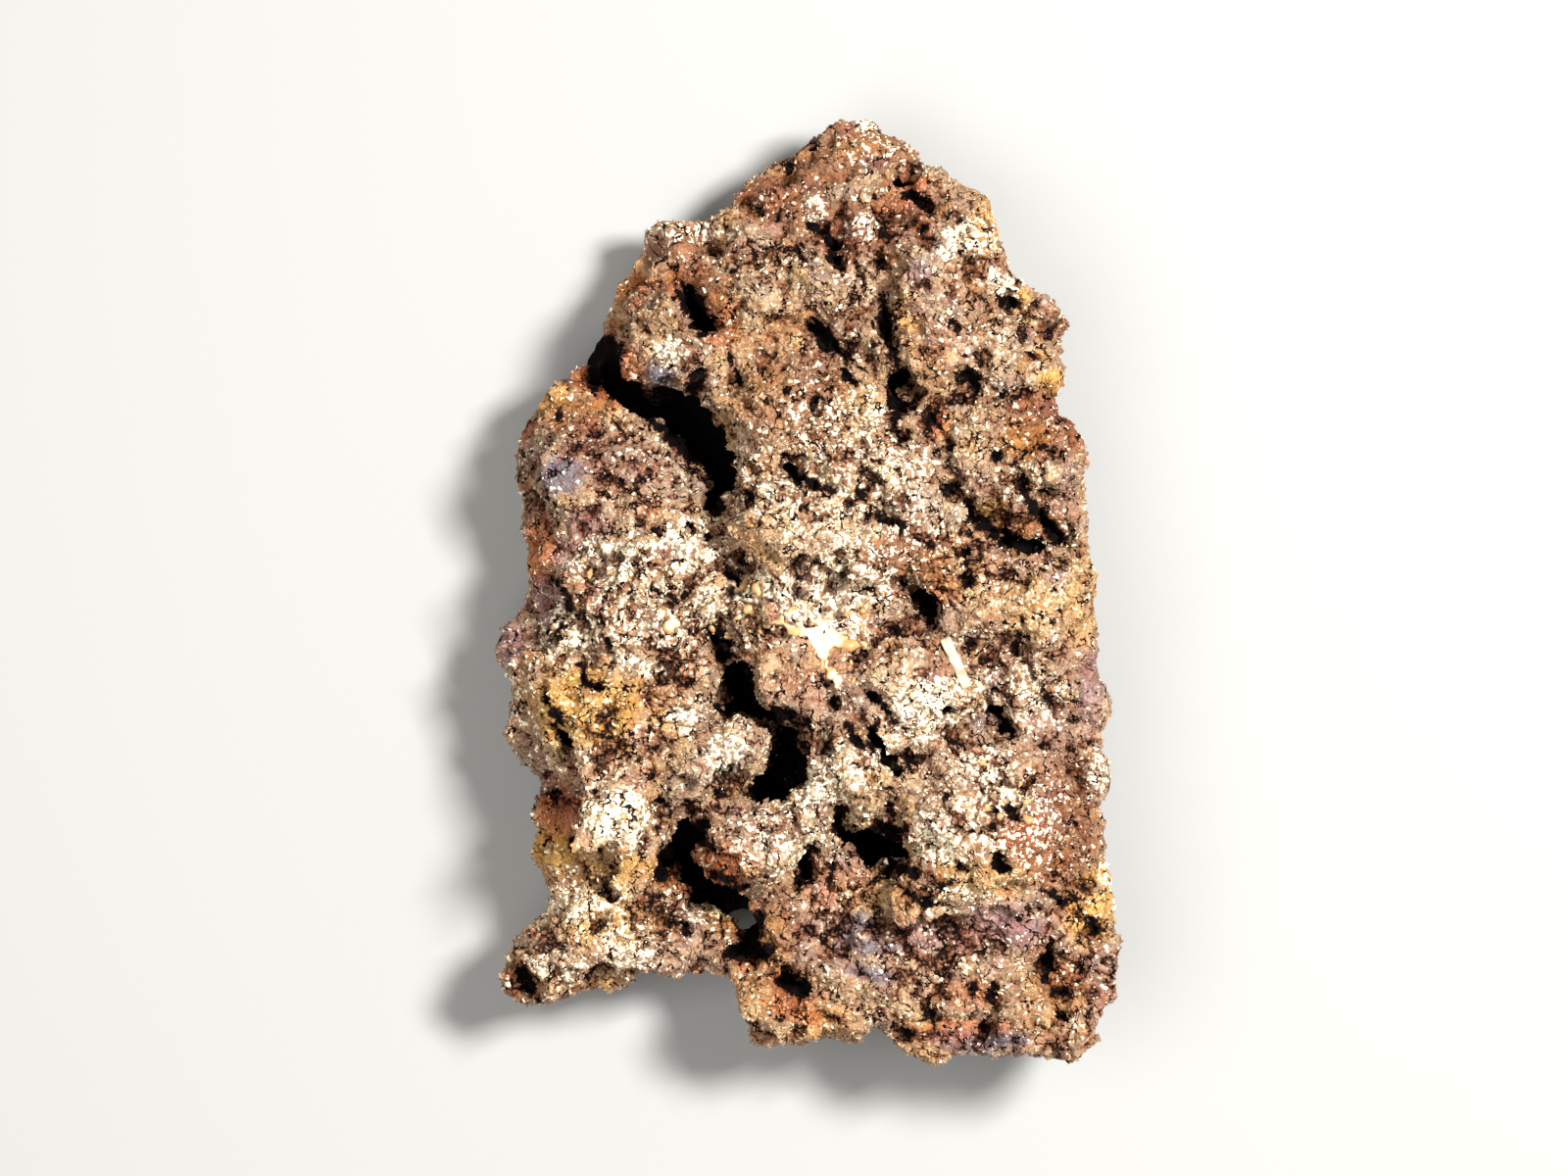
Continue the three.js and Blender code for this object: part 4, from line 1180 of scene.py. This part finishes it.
class SPECIMEN_OT_lath(bpy.types.Operator):
    """Set the pale lath crystal into the crust"""

    bl_idname = "specimen.lath"
    bl_label = "Lath crystal"

    def execute(self, context):
        tree = crust_tree()
        start, end = (spot(*place) for place in LATH_ENDS_PX)
        on_line = [[a + t * (b - a) for a, b in zip(*LATH_ENDS_PX)] for t in (0, 0.25, 0.5, 0.75, 1)]
        start.z = end.z = max(height_at(tree, *place).z for place in on_line) + 0.2 * MM
        along = end - start
        form = bmesh.new()
        made = bmesh.ops.create_cube(form, size=1)
        size = (LATH_WIDTH_PX * PX, along.length, LATH_DEPTH_PX * PX)
        bmesh.ops.scale(form, verts=made["verts"], vec=size)
        bmesh.ops.bevel(
            form, geom=form.edges[:], offset=0.12 * MM, affect="EDGES", segments=2, profile=0.5, material=-1
        )
        turn = along.to_track_quat("Y", "Z").to_matrix().to_4x4()
        bmesh.ops.transform(form, matrix=Matrix.Translation((start + end) / 2) @ turn, verts=form.verts)
        mesh = bpy.data.meshes.new("lath_crystal")
        form.to_mesh(mesh)
        form.free()
        new_piece("lath_crystal", mesh, lath_finish(context.scene.specimen_colours))
        return {"FINISHED"}


def area_light(name, place, size, power, target):
    light = bpy.data.lights.new(name, "AREA")
    light.size = size
    light.energy = power
    lamp = bpy.data.objects.new(name, light)
    lamp.location = place
    lamp.rotation_mode = "QUATERNION"
    lamp.rotation_quaternion = (target - place).to_track_quat("-Z", "Y")
    bpy.context.scene.collection.objects.link(lamp)


# The stage, in metres: places and sizes of the lights, and half the floor's side
KEY_PLACE, KEY_SIZE = Vector((0.15, 0.07, 0.37)), 0.07
FILL_PLACE, FILL_SIZE = Vector((-0.14, -0.06, 0.42)), 0.25
LIT_PLACE = Vector((0, 0, 12 * MM))
SKY_COLOUR = (1, 0.96, 0.9, 1)
FLOOR_REACH = 0.6


class SPECIMEN_OT_stage(bpy.types.Operator):
    """Lay the pale floor and set the lights and the camera"""

    bl_idname = "specimen.stage"
    bl_label = "Stage"

    def execute(self, context):
        stage = context.scene.specimen_stage
        form = bmesh.new()
        bmesh.ops.create_grid(form, x_segments=1, y_segments=1, size=FLOOR_REACH)
        mesh = bpy.data.meshes.new("floor")
        form.to_mesh(mesh)
        form.free()
        floor = bpy.data.objects.new("floor", mesh)
        paint = Paint("pale_floor")
        tone = (*context.scene.specimen_colours.floor, 1)
        mesh.materials.append(paint.finish(Base_Color=tone, Roughness=0.7))
        context.scene.collection.objects.link(floor)

        area_light("key", KEY_PLACE, KEY_SIZE, stage.key, LIT_PLACE)
        area_light("fill", FILL_PLACE, FILL_SIZE, stage.fill, LIT_PLACE)
        world = bpy.data.worlds.new("studio")
        world.use_nodes = True
        sky = world.node_tree.nodes["Background"].inputs
        sky["Color"].default_value = SKY_COLOUR
        sky["Strength"].default_value = stage.sky
        context.scene.world = world
        context.scene.view_settings.view_transform = "Standard"

        camera = bpy.data.cameras.new("camera")
        camera.lens = stage.lens
        camera.clip_end = 10
        eye = bpy.data.objects.new("camera", camera)
        distance = IMAGE_WIDTH_PX * PX * camera.lens / camera.sensor_width
        height = context.scene.specimen_crust.rim_height + distance
        eye.location = spot(*IMAGE_MIDDLE_PX) + Vector((0, 0, height))
        context.scene.collection.objects.link(eye)
        context.scene.camera = eye
        return {"FINISHED"}


SETTINGS = {
    "specimen_crust": CrustSettings,
    "specimen_grains": GrainSettings,
    "specimen_colours": ColourSettings,
    "specimen_stage": StageSettings,
}
OPERATORS = (
    SPECIMEN_OT_stage,
    SPECIMEN_OT_crust,
    SPECIMEN_OT_sinter,
    SPECIMEN_OT_lath,
    SPECIMEN_OT_grains,
)


class SPECIMEN_PT_panel(bpy.types.Panel):
    """The specimen's pieces and their sizes"""

    bl_label = "Pyrrhotite specimen"
    bl_idname = "SPECIMEN_PT_panel"
    bl_space_type = "VIEW_3D"
    bl_region_type = "UI"
    bl_category = "Specimen"

    def draw(self, context):
        for operator in OPERATORS:
            self.layout.operator(operator.bl_idname)
        for name, group in SETTINGS.items():
            box = self.layout.box()
            for key in group.__annotations__:
                box.prop(getattr(context.scene, name), key)


def register():
    for group in SETTINGS.values():
        bpy.utils.register_class(group)
    for operator in OPERATORS:
        bpy.utils.register_class(operator)
    bpy.utils.register_class(SPECIMEN_PT_panel)
    for name, group in SETTINGS.items():
        setattr(bpy.types.Scene, name, PointerProperty(type=group))


def unregister():
    for name in SETTINGS:
        delattr(bpy.types.Scene, name)
    bpy.utils.unregister_class(SPECIMEN_PT_panel)
    for made in (*OPERATORS, *SETTINGS.values()):
        bpy.utils.unregister_class(made)


def main():
    register()
    for operator in OPERATORS:
        group, name = operator.bl_idname.split(".")
        getattr(getattr(bpy.ops, group), name)()


if __name__ == "__main__":
    main()
